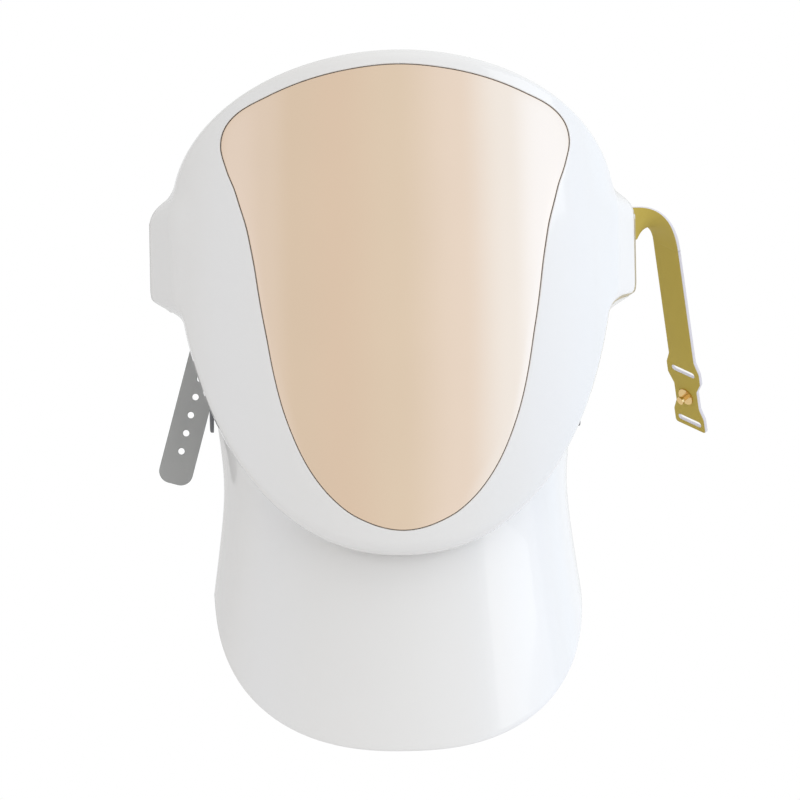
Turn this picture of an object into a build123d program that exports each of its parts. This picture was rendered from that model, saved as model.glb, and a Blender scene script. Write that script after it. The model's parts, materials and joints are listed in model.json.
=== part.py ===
from build123d import *
import math
import os

os.makedirs("parts", exist_ok=True)

# Lengths are millimetres, angles degrees. The wearer looks towards -Y, +X is the right of the picture,
# +Z is up. The origin lies midway between the two strap pins, on the axis of the face curve.

# Face shell, outline seen from the front
shell_half_width = 100.0
widest_height = 20.0
shell_rise = 70.5
shell_drop = 158.0
upper_power = 2.0
lower_power = 2.2
shell_wall = 2.4

# Face curve: circular from side to side, gently bowed from top to bottom
face_radius = 107.0
fullest_height = -20.0
bow_radius = 470.0

# Rolled edge of the frame and the rim behind it
roll_radius = 8.0
rim_depth = 24.0

# Visor: its edge as shares of the shell outline's radius, by angle about the widest height
visor_thickness = 2.0
visor_gap = 0.3
glue_line = 0.1
recess_floor = 2.0
visor_edge_shares = (
    (-90.0, 0.929), (-81.4, 0.907), (-76.4, 0.881), (-71.1, 0.846), (-62.2, 0.782), (-51.9, 0.722),
    (-42.2, 0.687), (-25.3, 0.669), (-11.9, 0.679), (-3.3, 0.699), (6.1, 0.741), (13.3, 0.812),
    (19.6, 0.886), (25.4, 0.928), (31.5, 0.939), (40.5, 0.922), (52.0, 0.912), (70.0, 0.906),
    (90.0, 0.909),
)

# Strap bosses at ear height
boss_reach = 110.5
boss_crease = 101.4
boss_crease_depth = 30.0
boss_root = 93.5
boss_root_depth = 50.0
boss_inner = 98.8
boss_inner_depth = 34.0
boss_back_depth = 8.0
boss_top = 25.5
boss_top_corner = 20.0
boss_low_corner = 20.5
boss_bottom = 26.5
boss_corner_inset = 3.5
boss_corner_fall = 6.0
boss_low_rise = 4.0
boss_low_inset = 1.0
boss_edge_radius = 1.6
boss_pocket_width = 6.9
boss_pocket_height = 28.2
boss_pocket_depth = 6.5

# Strap lugs: rear cover of each boss with two ears
lug_plate = 2.0
lug_ear = 2.8
lug_ear_half_width = 3.0
pin_fit_gap = 0.02
strap_height = 9.5
strap_side = 104.0
lug_screw_places = ((102.4, 22.1), (103.4, -20.4))
lug_screw_radius = 0.9
lug_screw_head_radius = 1.5
lug_screw_head = 0.8
lug_screw_length = 8.0

# Straps
strap_width = 15.5
strap_thickness = 2.0
sleeve_radius = 2.6
pin_radius = 0.9
running_gap = 0.05
side_gap = 0.35
strap_hole_radius = 1.5
strap_hole_pitch = 8.5
strap_hole_count = 7
strap_end_margin = 15.3
strap_end_radius = 5.5
left_hang_side = -79.8
left_hang_back = 20.0
left_hang_height = -28.4
left_hang_length = 79.0
left_lean = -15.6
right_hang_side = 126.6
right_hang_back = 38.0
right_hang_height = 0.0
right_hang_length = 69.0
right_side_lean = 8.7
right_back_lean = 37.3
right_turn = 38.9
right_dip = 23.2
buckle_length = 36.4
buckle_width = 20.0
buckle_waist = 14.0
buckle_shoulder_share = 0.25
buckle_neck_share = 1.7
buckle_tip_share = 0.92
slot_length = 13.6
slot_width = 2.6
slot_margin = 2.6
buckle_round = 1.6
band_pull_share = 0.42
stud_flange_radius = 4.1
stud_flange = 0.7
stud_post_radius = 1.35
stud_post = 2.6
stud_head_radius = 1.9
stud_head = 1.1

# Light unit behind the shell, as distances behind the face curve
board_depth = 13.2
board_thickness = 0.8
board_inset = 16.0
led_size = 3.0
led_height = 1.1
led_seat = 0.05
liner_depth = 17.5
liner_thickness = 2.0
face_led_pitch = 14.0
post_side = 24.0
post_heights = (66.0, 34.0, -76.0)
post_radius = 3.0
screw_head_radius = 2.2
screw_head = 1.0
screw_radius = 1.1
screw_bite = 3.0
hole_gap = 0.25
seal_width = 5.0
seal_depth = 4.0

# Eyes, nose and pads on the liner
eye_side = 32.0
eye_height = 10.0
eye_half_width = 20.0
eye_half_height = 14.0
eye_ring = 6.0
pad_thickness = 6.0
seat_gap = 0.3
nose_height = -16.0
nose_half_width = 12.0
nose_half_height = 20.0
nose_ring = 5.0
forehead_height = 52.0
forehead_half_width = 36.0
forehead_half_height = 8.0
chin_height = -98.0
chin_half_width = 20.0
chin_half_height = 7.0

# Electronics between the shell floor and the face board
cell_width = 34.0
cell_height = 46.0
cell_thickness = 5.0
cell_base = -60.0
driver_width = 30.0
driver_height = 40.0
driver_thickness = 1.2
driver_base = 12.0
cell_round = 1.5
chip_size = 6.0
chip_height = 1.0
chip_place_shares = ((-0.22, 0.25), (0.24, 0.22), (0.0, 0.55), (0.28, 0.8), (-0.26, 0.78))

# Button and charging inlet on the lugs
control_height = -8.6
control_side = 103.4
button_radius = 2.6
button_flange = 0.6
button_round = 0.5
button_travel = 0.8
button_stand = 1.2
button_gap = 0.2
switch_size = 4.4
switch_seat = 0.05
inlet_width = 3.2
inlet_length = 8.9
inlet_depth = 7.0
inlet_wall = 0.4

# Neck shell
neck_axis = 14.0
neck_top = -62.0
neck_waist = 78.0
neck_waist_height = -106.0
neck_flare_share = 0.15
neck_bend = 15.3
neck_high = -58.0
neck_low = -232.0
neck_wall = 2.4
neck_unit_top = -94.0
neck_unit_inset = 3.0
bib_height = -156.0
bib_half_width = 83.6
bib_drop = 70.6
bib_power = 2.38
neck_tuck = 7.0
neck_board_depth = 6.4
neck_liner_depth = 9.0
neck_board_inset = 9.0
neck_wall_gap = 0.3
neck_led_pitch = 15.0
neck_led_reach = 62.0
neck_post_side = 30.0
neck_post_heights = (-150.0, -196.0)

# Neck pivots
pivot_height = -74.0
pivot_back = 2.0
pivot_radius = 2.0
pivot_reach = 12.0
pivot_collar_radius = 3.4
pivot_collar = 1.8
pivot_cap_radius = 7.5
pivot_cap = 1.6
pivot_cap_gap = 0.5
bracket_thickness = 3.0
bracket_half_height = 5.0
bracket_gap = 0.6

# One overrun serves every cut
over = 2.0
turn_count = 48
station_count = 10


def write(name, *solids):
    """Write one node as a STEP file of one or more separate solids."""
    loose = []
    for solid in solids:
        loose.extend(solid.solids())
    shape = loose[0] if len(loose) == 1 else Compound(children=loose)
    export_step(shape, f"parts/{name}.step")


def superellipse_radius(angle, half_width, half_height, power):
    """Radius of a superellipse in the direction of angle."""
    across = abs(math.cos(math.radians(angle))) / half_width
    along = abs(math.sin(math.radians(angle))) / half_height
    return (across**power + along**power) ** (-1 / power)


def shell_radius(angle):
    """Radius of the face shell's outline about its widest height."""
    if math.sin(math.radians(angle)) >= 0:
        return superellipse_radius(angle, shell_half_width, shell_rise, upper_power)
    return superellipse_radius(angle, shell_half_width, shell_drop, lower_power)


def smooth_share(table, angle):
    """Value at angle of a smooth curve through a table of angle and share."""
    last = len(table) - 1
    place = max(i for i in range(last) if table[i][0] <= angle or i == 0)
    low, high = table[place], table[place + 1]
    span = high[0] - low[0]

    def slope(i):
        if i in (0, last):
            return 0
        return (table[i + 1][1] - table[i - 1][1]) / (table[i + 1][0] - table[i - 1][0])

    t = (angle - low[0]) / span
    rise = low[1] * (1 + 2 * t) * (1 - t) ** 2 + high[1] * t**2 * (3 - 2 * t)
    return rise + span * (slope(place) * t * (1 - t) ** 2 - slope(place + 1) * t**2 * (1 - t))


def folded(angle):
    """The same direction on the +X side, as an angle from -90 to 90."""
    return math.degrees(math.asin(math.sin(math.radians(angle))))


def visor_radius(angle):
    """Radius of the visor's edge about the shell's widest height."""
    return smooth_share(visor_edge_shares, folded(angle)) * shell_radius(angle)


def curve_radius(height):
    """Horizontal radius of the face curve at a height."""
    return face_radius - (bow_radius - math.sqrt(bow_radius**2 - (height - fullest_height) ** 2))


def outline_prism(radius_at, inset, start=0):
    """A prism from start towards the front whose outline has radius_at(angle) less inset."""
    points = []
    for i in range(turn_count):
        angle = 360 * i / turn_count - 90
        reach = radius_at(angle) - inset
        points.append((reach * math.cos(math.radians(angle)), start,
                       widest_height + reach * math.sin(math.radians(angle))))
    edge = Spline(*points, periodic=True)
    return extrude(Face(Wire([edge])), amount=face_radius + over + start, dir=(0, -1, 0))


def front_prism(sketch, side=0, height=0):
    """A sketch seen from the front, pushed forward from the origin plane."""
    place = Plane((side, 0, height), x_dir=(1, 0, 0), z_dir=(0, -1, 0))
    return extrude(place * sketch, amount=face_radius + over)


def face_solid(depth):
    """Everything behind the face curve, less a depth taken off all round."""
    low = widest_height - shell_drop - over
    high = widest_height + shell_rise + over
    stops = [(curve_radius(z) - depth, 0, z) for z in (low, fullest_height, high)]
    bow = ThreePointArc(*stops)
    top = Line(bow @ 1, (0, 0, high))
    axis = Line((0, 0, high), (0, 0, low))
    base = Line((0, 0, low), bow @ 0)
    return revolve(Face(Wire([bow, top, axis, base])), Axis.Z)


def slab(front, back):
    """The layer between the face curve pushed back by front and pushed back by back."""
    return Pos(0, front, 0) * whole_face - Pos(0, back, 0) * whole_face


def front_edge(solid):
    """The edge that lies furthest towards the front."""
    return solid.edges().sort_by(lambda e: e.center().Y)[0]


def curve_y(side, height, back=0):
    """Y of the face curve pushed back by a distance, at a point seen from the front."""
    return back - math.sqrt(curve_radius(height) ** 2 - side**2)


def inward_plane(side, height, axis_y, reach, slope):
    """A plane on a surface of revolution about an upright axis, whose normal points at the wearer."""
    ahead = math.sqrt(reach**2 - side**2)
    return Plane((side, axis_y - ahead, height), x_dir=(ahead, side, 0), z_dir=(-side, ahead, reach * slope))


def facing(side, height, back):
    """A plane on the pushed-back face curve whose normal points at the wearer."""
    rise = height - fullest_height
    return inward_plane(side, height, back, curve_radius(height), -rise / math.sqrt(bow_radius**2 - rise**2))


def rod(side, height, y_from, y_to, radius):
    """A rod along Y between two depths."""
    place = Plane((side, min(y_from, y_to), height), x_dir=(1, 0, 0), z_dir=(0, 1, 0))
    return extrude(place * Circle(radius), amount=abs(y_to - y_from))


def joined(solids):
    """All solids of a list fused in one go."""
    first, *others = solids
    return first.fuse(*others) if others else first


# Face shell: a bowed block with a rolled edge, hollowed from behind, with the visor recess
whole_face = face_solid(0)
ledge_depth = visor_thickness + glue_line
floor_depth = ledge_depth + recess_floor
shell_block = (whole_face & outline_prism(shell_radius, 0)) - Pos(0, rim_depth, 0) * whole_face
shell_block = fillet(front_edge(shell_block), roll_radius)
hollow = (face_solid(floor_depth) & outline_prism(shell_radius, shell_wall))
hollow = fillet(front_edge(hollow), roll_radius - shell_wall)
recess = whole_face - face_solid(ledge_depth)
visor_outline = outline_prism(visor_radius, 0)


def boss_front(inset):
    """The right boss's outline seen from the front."""
    reach = boss_reach - inset
    return make_face(Polyline(
        (boss_root, boss_top - inset),
        (boss_crease, boss_top - inset),
        (reach - boss_corner_inset, boss_top_corner - inset),
        (reach, boss_top_corner - boss_corner_fall - inset),
        (reach, boss_low_rise - boss_low_corner + inset),
        (reach - boss_low_inset, inset - boss_low_corner),
        (boss_crease, -boss_bottom + inset),
        (boss_root, -boss_bottom + inset),
        close=True,
    ))


def boss_body():
    """The right boss as a wedge that fills out the rolled edge of the shell, with a pocket from behind."""
    plan = make_face(Polyline(
        (boss_root, -boss_root_depth),
        (boss_crease, -boss_crease_depth),
        (boss_reach, -boss_back_depth),
        (boss_inner, -boss_back_depth),
        (boss_inner, -boss_inner_depth),
        close=True,
    ))
    upright = extrude(Plane.XY.offset(-boss_bottom) * plan, amount=boss_top + boss_bottom)
    body = upright & front_prism(boss_front(0))
    corners = body.edges().filter_by(lambda e: e.center().X > boss_crease - over
                                     and e.center().Y < -boss_back_depth - over)
    body = fillet(corners, boss_edge_radius)
    pocket = Pos(shell_half_width, -boss_back_depth + over, 0) * Box(
        boss_pocket_width, boss_pocket_depth + over, boss_pocket_height,
        align=(Align.MIN, Align.MAX, Align.CENTER))
    body = body - pocket
    bite = lug_screw_length - lug_plate
    for side, height in lug_screw_places:
        body -= rod(side, height, -boss_back_depth - bite, 0, lug_screw_radius)
    return body


def post_places():
    """Side and height of the six posts that carry the light unit."""
    return [(side, height) for height in post_heights for side in (-post_side, post_side)]


boss_right = boss_body()
post_layer = slab(ledge_depth, board_depth)
posts = [rod(side, height, -face_radius, 0, post_radius) & post_layer for side, height in post_places()]
posts = [post - rod(x, z, curve_y(x, z, board_depth) - screw_bite, 0, screw_radius)
         for post, (x, z) in zip(posts, post_places())]
face_shell = joined([shell_block - hollow, boss_right, mirror(boss_right, about=Plane.YZ)] + posts)
face_shell = face_shell - (recess & visor_outline)
write("face_shell", face_shell)

# Mirror visor in its recess
write("mirror_visor", (whole_face - face_solid(visor_thickness)) & outline_prism(visor_radius, visor_gap))


def lug_plate_and_ears():
    """The right boss's rear cover: a plate with two ears that hold the strap pin."""
    plate = Plane((0, -boss_back_depth, 0), x_dir=(1, 0, 0), z_dir=(0, -1, 0)) * boss_front(pin_fit_gap)
    plate = extrude(plate, amount=-lug_plate)
    plate = plate - Pos(shell_half_width, 0, 0) * Box(
        shell_half_width, face_radius, face_radius, align=(Align.MAX, Align.CENTER, Align.CENTER))
    for side, height in lug_screw_places:
        plate -= rod(side, height, -boss_back_depth - over, 0, lug_screw_radius + pin_fit_gap)
    ear = make_face(Polyline(
        (strap_side - lug_ear_half_width, lug_plate - boss_back_depth),
        (strap_side - lug_ear_half_width, 0),
        (strap_side + lug_ear_half_width, 0),
        (strap_side + lug_ear_half_width, lug_plate - boss_back_depth),
        close=True,
    )) + Pos(strap_side, 0) * Circle(lug_ear_half_width) - Pos(strap_side, 0) * Circle(pin_radius + pin_fit_gap)
    reach = strap_width / 2 + side_gap
    lower = extrude(Plane.XY.offset(strap_height - reach - lug_ear) * ear, amount=lug_ear)
    upper = extrude(Plane.XY.offset(strap_height + reach) * ear, amount=lug_ear)
    return plate + lower + upper


def mirrored(shape):
    """The same piece on the -X side."""
    return mirror(shape, about=Plane.YZ)


# Rear covers of the bosses, with the button's hole on the left and the socket's on the right
lug = lug_plate_and_ears()
control_place = Plane((control_side, lug_plate - boss_back_depth, control_height),
                      x_dir=(0, 0, 1), z_dir=(0, 1, 0))
left_control_place = Plane((-control_side, lug_plate - boss_back_depth, control_height),
                           x_dir=(0, 0, 1), z_dir=(0, 1, 0))
button_hole = extrude(left_control_place * Circle(button_radius + button_gap), amount=-lug_plate)
inlet_outer = SlotOverall(inlet_length + inlet_wall * 2, inlet_width + inlet_wall * 2)
inlet_inner = SlotOverall(inlet_length, inlet_width)
inlet_room = (inlet_wall + pin_fit_gap) * 2
inlet_hole = SlotOverall(inlet_length + inlet_room, inlet_width + inlet_room)
inlet_hole = extrude(control_place * inlet_hole, amount=-lug_plate)
write("strap_lug_left", mirrored(lug) - button_hole)
write("strap_lug_right", lug - inlet_hole)
lug_face = lug_plate - boss_back_depth
lug_screws = []
for side, height in lug_screw_places:
    shank = rod(side, height, lug_face - lug_screw_length + hole_gap, lug_face, lug_screw_radius - pin_fit_gap)
    lug_screws.append(shank + rod(side, height, lug_face, lug_face + lug_screw_head, lug_screw_head_radius))
write("lug_screws", *lug_screws, *[mirrored(screw) for screw in lug_screws])

# Charging socket: a metal shell with a blind end
socket = extrude(control_place * inlet_outer, amount=-inlet_depth)
socket_bore = extrude(control_place * inlet_inner, amount=-inlet_depth + inlet_wall)
write("charging_inlet", socket - socket_bore)

# Power button: a cap that stands proud of the cover, with a flange behind it, over its switch
button_plane = left_control_place.offset(button_stand)
button = extrude(button_plane * Circle(button_radius), amount=-button_stand - lug_plate - button_gap)
flange_plane = left_control_place.offset(-lug_plate - button_gap)
button += extrude(flange_plane * Circle(button_radius + button_flange), amount=-button_flange)
write("power_button", fillet(button.edges().sort_by(Axis.Y)[-1], button_round))
switch_room = boss_pocket_depth - button_flange - button_travel - button_gap * 2 - switch_seat
switch_plane = flange_plane.offset(-button_flange - button_travel - button_gap)
write("power_switch", extrude(switch_plane * Rectangle(switch_size, switch_size), amount=-switch_room))

# Strap pins
pin_length = strap_width + side_gap * 2 + lug_ear * 2
pin_base = Plane((strap_side, 0, strap_height - pin_length / 2), z_dir=(0, 0, 1))
strap_pin = extrude(pin_base * Circle(pin_radius), amount=pin_length)
write("strap_pin_right", strap_pin)
write("strap_pin_left", mirrored(strap_pin))


def unit(side, back, up):
    """Unit vector from three shares."""
    return Vector(side, back, up).normalized()


def sleeve(side):
    """The strap's moulded eye around its pin."""
    base = Plane((side, 0, strap_height - strap_width / 2), z_dir=(0, 0, 1))
    return extrude(base * (Circle(sleeve_radius) - Circle(pin_radius + running_gap)), amount=strap_width)


def curved_band(start, heading, finish, direction, end_width):
    """The band from its eye to where it hangs straight, turning its width as it goes."""
    reach = (finish - start).length * band_pull_share
    pulls = [start, start + heading * reach, finish - direction * reach, finish]
    path = Bezier(*pulls)
    sections = []
    for i in range(station_count):
        share = i / (station_count - 1)
        ahead = path % share
        turned = share * share * (3 - 2 * share)
        across = Vector(0, 0, 1) * (1 - turned) + end_width * turned
        across = (across - ahead * across.dot(ahead)).normalized()
        place = Plane(path @ share, x_dir=across, z_dir=ahead)
        sections.append(place * Rectangle(strap_width, strap_thickness))
    return loft(sections)


def flat_place(finish, direction, across):
    """Plane of the strap's straight end: width along its X, length along its Y, through the middle."""
    return Plane(finish, x_dir=across, z_dir=across.cross(direction)).offset(-strap_thickness / 2)


# Left strap: straight end with the row of holes
left_down = unit(math.sin(math.radians(left_lean)), 0, -math.cos(math.radians(left_lean)))
left_across = unit(-left_down.Z, 0, left_down.X)
left_hang = Vector(left_hang_side, left_hang_back, left_hang_height)
left_start = Vector(-strap_side, 0, strap_height)
left_heading = unit(left_hang_side + strap_side, left_hang_back * 2, 0)
left_start = left_start + left_heading * (sleeve_radius - strap_thickness / 2)
left_band = curved_band(left_start, left_heading, left_hang, left_down, left_across)
left_plane = flat_place(left_hang, left_down, left_across)
tail = Pos(0, left_hang_length / 2) * Rectangle(strap_width, left_hang_length)
tail = fillet(tail.vertices().group_by(Axis.Y)[-1], strap_end_radius)
hole_marks = [left_hang_length - strap_end_margin - strap_hole_pitch * i for i in range(strap_hole_count)]
for mark in hole_marks:
    tail -= Pos(0, mark) * Circle(strap_hole_radius)
strap_left = left_band + extrude(left_plane * tail, amount=strap_thickness) + sleeve(-strap_side)
write("strap_left_band", strap_left)

# Right strap: buckle end with two slots and the stud between them
right_down = unit(math.tan(math.radians(right_side_lean)), math.tan(math.radians(right_back_lean)), -1)
right_across = Vector(math.cos(math.radians(right_turn)), -math.sin(math.radians(right_turn)),
                      -math.tan(math.radians(right_dip)))
right_across = (right_across - right_down * right_across.dot(right_down)).normalized()
right_hang = Vector(right_hang_side, right_hang_back, right_hang_height)
right_heading = unit(right_hang_side - strap_side, right_hang_back, 0)
right_start = Vector(strap_side, 0, strap_height) + right_heading * (sleeve_radius - strap_thickness / 2)
right_band = curved_band(right_start, right_heading, right_hang, right_down, right_across)
right_plane = flat_place(right_hang, right_down, right_across)
buckle_end = right_hang_length + buckle_length
wide = buckle_width / 2
narrow = buckle_waist / 2
plain = strap_width / 2
ear_drop = slot_width + slot_margin * 2
shoulder = ear_drop * buckle_shoulder_share
neck_in = ear_drop * buckle_neck_share
tip = wide * buckle_tip_share
outline = [(plain, 0), (plain, right_hang_length - ear_drop / 2), (wide, right_hang_length + shoulder),
           (wide, right_hang_length + ear_drop), (narrow, right_hang_length + neck_in),
           (narrow, buckle_end - neck_in), (tip, buckle_end - ear_drop), (tip, buckle_end)]
outline = outline + [(-x, y) for x, y in reversed(outline)]
buckle = make_face(Polyline(*outline, close=True))
buckle = fillet([v for v in buckle.vertices() if v.Y > over], buckle_round)
slot_marks = (right_hang_length + slot_margin + slot_width / 2, buckle_end - slot_margin - slot_width / 2)
for mark in slot_marks:
    buckle -= Pos(0, mark) * SlotOverall(slot_length, slot_width)
stud_mark = (slot_marks[0] + slot_marks[1]) / 2
buckle -= Pos(0, stud_mark) * Circle(stud_post_radius)
strap_right = right_band + extrude(right_plane * buckle, amount=strap_thickness) + sleeve(strap_side)
write("strap_right_band", strap_right)

# Stud: flange and headed post on the wearer's side of the strap, rivet plate on the other
stud_base = Plane(right_plane.origin + right_down * stud_mark, x_dir=right_across, z_dir=-right_plane.z_dir)
stud = extrude(stud_base * Circle(stud_flange_radius), amount=stud_flange)
stud += extrude(stud_base * Circle(stud_post_radius), amount=-strap_thickness)
stud += extrude(stud_base * Circle(stud_post_radius), amount=stud_flange + stud_post)
stud += extrude(stud_base.offset(stud_flange + stud_post) * Circle(stud_head_radius), amount=stud_head)
write("strap_stud", stud)
write("stud_backing", extrude(stud_base.offset(-strap_thickness) * Circle(stud_flange_radius),
                              amount=-stud_flange))


def ellipse_prism(side, height, half_width, half_height):
    """An upright ellipse pushed towards the front."""
    return front_prism(Ellipse(half_width, half_height), side, height)


def outline_reach(side, height, radius_at):
    """How far a point lies inside an outline, along its radius."""
    up = height - widest_height
    return radius_at(math.degrees(math.atan2(up, side))) - math.hypot(side, up)


def clear_of_ellipse(side, height, centre_side, centre_height, half_width, half_height, margin):
    """Whether a point lies outside an ellipse grown by a margin."""
    across = (abs(side) - centre_side) / (half_width + margin)
    along = (height - centre_height) / (half_height + margin)
    return math.hypot(across, along) > 1


def clear_of_posts(side, height, places, margin):
    """Whether a point keeps a margin from every post."""
    return all(math.hypot(side - x, height - z) > margin for x, z in places)


def grid(pitch, low, high):
    """Staggered points over the full width between two heights."""
    rows = int((high - low) / pitch)
    columns = int(shell_half_width / pitch)
    for row in range(rows + 1):
        shift = pitch / 2 if row % 2 else 0
        for column in range(-columns, columns + 1):
            yield column * pitch + shift, high - row * pitch


# Light unit of the face: board, diodes and liner
board_back = board_depth + board_thickness
liner_back = liner_depth + liner_thickness
eye_holes = [ellipse_prism(side, eye_height, eye_half_width, eye_half_height) for side in (-eye_side, eye_side)]
nose_hole = ellipse_prism(0, nose_height, nose_half_width, nose_half_height)
screw_holes = [rod(x, z, -face_radius, 0, screw_radius + hole_gap) for x, z in post_places()]
face_board = slab(board_depth, board_back) & outline_prism(shell_radius, board_inset)
write("face_led_board", face_board.cut(*eye_holes, nose_hole, *screw_holes))

led_margin = led_size
face_led_points = [
    (x, z) for x, z in grid(face_led_pitch, widest_height - shell_drop, widest_height + shell_rise - board_inset)
    if outline_reach(x, z, shell_radius) > board_inset + led_margin
    and clear_of_ellipse(x, z, eye_side, eye_height, eye_half_width, eye_half_height, led_margin)
    and clear_of_ellipse(x, z, 0, nose_height, nose_half_width, nose_half_height, led_margin)
    and clear_of_posts(x, z, post_places(), post_radius + led_margin)
]
led_chip = Box(led_size, led_size, led_height, align=(Align.CENTER, Align.CENTER, Align.MIN))
face_leds = [facing(x, z, board_back).offset(led_seat) * led_chip for x, z in face_led_points]
write("face_leds", *face_leds)

seats = [curve_y(x, z, liner_depth) + liner_thickness / 2 for x, z in post_places()]
face_liner = slab(liner_depth, liner_back) & outline_prism(shell_radius, shell_wall + seat_gap)
head_pockets = [rod(x, z, seat, 0, screw_head_radius + hole_gap) for (x, z), seat in zip(post_places(), seats)]
write("face_liner", face_liner.cut(*screw_holes, *head_pockets))
liner_screws = []
for (x, z), seat in zip(post_places(), seats):
    tip = curve_y(x, z, board_depth) - screw_bite + hole_gap
    shank = rod(x, z, tip, seat, screw_radius - pin_fit_gap)
    liner_screws.append(shank + rod(x, z, seat, seat + screw_head, screw_head_radius))
write("liner_screws", *liner_screws)

# Pads on the liner
pad_front = liner_back + seat_gap
pad_layer = slab(pad_front, pad_front + pad_thickness)


def ring_pad(side, height, half_width, half_height, width):
    """An oval ring on the liner, following its curve."""
    outer = ellipse_prism(side, height, half_width + width, half_height + width)
    return (pad_layer & outer) - ellipse_prism(side, height, half_width, half_height)


eye_pad = ring_pad(eye_side, eye_height, eye_half_width, eye_half_height, eye_ring)
write("eye_cushion_right", eye_pad)
write("eye_cushion_left", mirrored(eye_pad))
nose_pad = ring_pad(0, nose_height, nose_half_width, nose_half_height, nose_ring)
nose_keep = front_prism(Rectangle(shell_half_width, nose_half_height * 2), 0, nose_height - nose_ring * 2)
nose_clear = [ellipse_prism(side, eye_height, eye_half_width + eye_ring + seat_gap,
                            eye_half_height + eye_ring + seat_gap) for side in (-eye_side, eye_side)]
write("nose_rest", (nose_pad & nose_keep).cut(*nose_clear))
forehead = RectangleRounded(forehead_half_width * 2, forehead_half_height * 2, forehead_half_height - over)
write("forehead_pad", pad_layer & front_prism(forehead, 0, forehead_height))
chin = RectangleRounded(chin_half_width * 2, chin_half_height * 2, chin_half_height - over)
write("chin_pad", pad_layer & front_prism(chin, 0, chin_height))


def floor_seat(half_width, low, high):
    """Y at which a flat piece of that size clears the curved floor."""
    return max(-math.sqrt((curve_radius(z) - floor_depth) ** 2 - half_width**2) for z in (low, high)) + seat_gap


# Battery and driver board between the recess floor and the light board
cell_y = floor_seat(cell_width / 2, cell_base, cell_base + cell_height)
cell = Pos(0, cell_y, cell_base) * Box(cell_width, cell_thickness, cell_height,
                                       align=(Align.CENTER, Align.MIN, Align.MIN))
write("battery", fillet(cell.edges().filter_by(Axis.Z), cell_round))
driver_y = floor_seat(driver_width / 2, driver_base, driver_base + driver_height)
write("control_board", Pos(0, driver_y, driver_base) * Box(
    driver_width, driver_thickness, driver_height, align=(Align.CENTER, Align.MIN, Align.MIN)))
chip = Box(chip_size, chip_height, chip_size, align=(Align.CENTER, Align.MIN, Align.CENTER))
chips = [Pos(driver_width * x, driver_y + driver_thickness, driver_base + driver_height * z) * chip
         for x, z in chip_place_shares]
write("control_chips", *chips)


def outline_half_width(height):
    """Half width of the face shell's outline at a height below its widest."""
    return shell_half_width * (1 - ((widest_height - height) / shell_drop) ** lower_power) ** (1 / lower_power)


# Neck brackets behind the face liner, with the pivot pins and their caps
behind_liner = Pos(0, liner_back + glue_line, 0) * whole_face
bracket_side = outline_half_width(pivot_height - bracket_half_height) - neck_tuck - bracket_gap
blade_place = Plane((bracket_side - bracket_thickness, 0, 0), x_dir=(0, 1, 0), z_dir=(1, 0, 0))
blade = Pos(pivot_back, pivot_height) * Circle(bracket_half_height)
blade += Pos(pivot_back, pivot_height) * Rectangle(face_radius, bracket_half_height * 2,
                                                   align=(Align.MAX, Align.CENTER))
blade -= Pos(pivot_back, pivot_height) * Circle(pivot_radius + pin_fit_gap)
bracket = extrude(blade_place * blade, amount=bracket_thickness) & behind_liner
write("neck_bracket_right", bracket)
write("neck_bracket_left", mirrored(bracket))


def cross_rod(side_from, side_to, radius):
    """A rod along X on the neck's pivot axis."""
    place = Plane((side_from, pivot_back, pivot_height), x_dir=(0, 1, 0), z_dir=(1, 0, 0))
    return extrude(place * Circle(radius), amount=side_to - side_from)


# Neck shell: a flared half barrel with a round lower edge and two pivot arms
def neck_radius(height):
    """Horizontal radius of the neck's outer surface: a waist between two flares."""
    return neck_waist + neck_flare_share * (math.hypot(height - neck_waist_height, neck_bend) - neck_bend)


def neck_solid(depth):
    """Everything inside the neck's outer surface, less a depth all round."""
    step = (neck_low - neck_high) / station_count
    heights = [neck_high + step * i for i in range(station_count + 1)]
    bow = Spline(*[(neck_radius(z) - depth, neck_axis, z) for z in heights])
    top = Line((0, neck_axis, neck_high), bow @ 0)
    base = Line(bow @ 1, (0, neck_axis, neck_low))
    core = Line((0, neck_axis, neck_low), (0, neck_axis, neck_high))
    return revolve(Face(Wire([top, bow, base, core])), Axis((0, neck_axis, 0), (0, 0, 1)))


def neck_region(inset, top):
    """The neck part's extent seen from the front, less an inset, below a height."""
    start = neck_axis - inset
    points = []
    for i in range(turn_count // 2 + 1):
        angle = -180 + 360 * i / turn_count
        reach = superellipse_radius(angle, bib_half_width - inset, bib_drop - inset, bib_power)
        points.append((reach * math.cos(math.radians(angle)), start,
                       bib_height + reach * math.sin(math.radians(angle))))
    lower = Spline(*points)
    wide = neck_radius(neck_low) + over
    upper = Polyline(lower @ 1, (wide, start, top), (-wide, start, top), lower @ 0)
    block = extrude(Face(Wire([lower, *upper.edges()])), amount=face_radius + start, dir=(0, -1, 0))
    return block - outline_prism(shell_radius, neck_tuck - inset, start + over)


neck_layer = neck_solid(0) - neck_solid(neck_wall)
arm_zone = Pos(0, pivot_back, pivot_height) * Box(
    face_radius * 2, face_radius * 2, face_radius, align=(Align.CENTER, Align.CENTER, Align.MIN))
arm_zone = arm_zone - cross_rod(-face_radius, face_radius, pivot_reach)
neck_shell = (neck_layer & neck_region(0, neck_top)) - arm_zone
neck_shell = neck_shell - cross_rod(-face_radius, face_radius, pivot_radius + running_gap)
neck_posts = []
for side in (-neck_post_side, neck_post_side):
    for height in neck_post_heights:
        ahead = math.sqrt(neck_radius(height) ** 2 - side**2)
        neck_posts.append((side, height, neck_axis - ahead))
neck_cavity = neck_solid(neck_wall / 2) - neck_solid(neck_board_depth)
standoffs = [rod(x, z, -face_radius, neck_axis, post_radius) & neck_cavity for x, z, _ in neck_posts]
standoffs = [post - rod(x, z, y + neck_board_depth - screw_bite, neck_axis, screw_radius)
             for post, (x, z, y) in zip(standoffs, neck_posts)]
neck_shell = joined([neck_shell] + standoffs)
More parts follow.
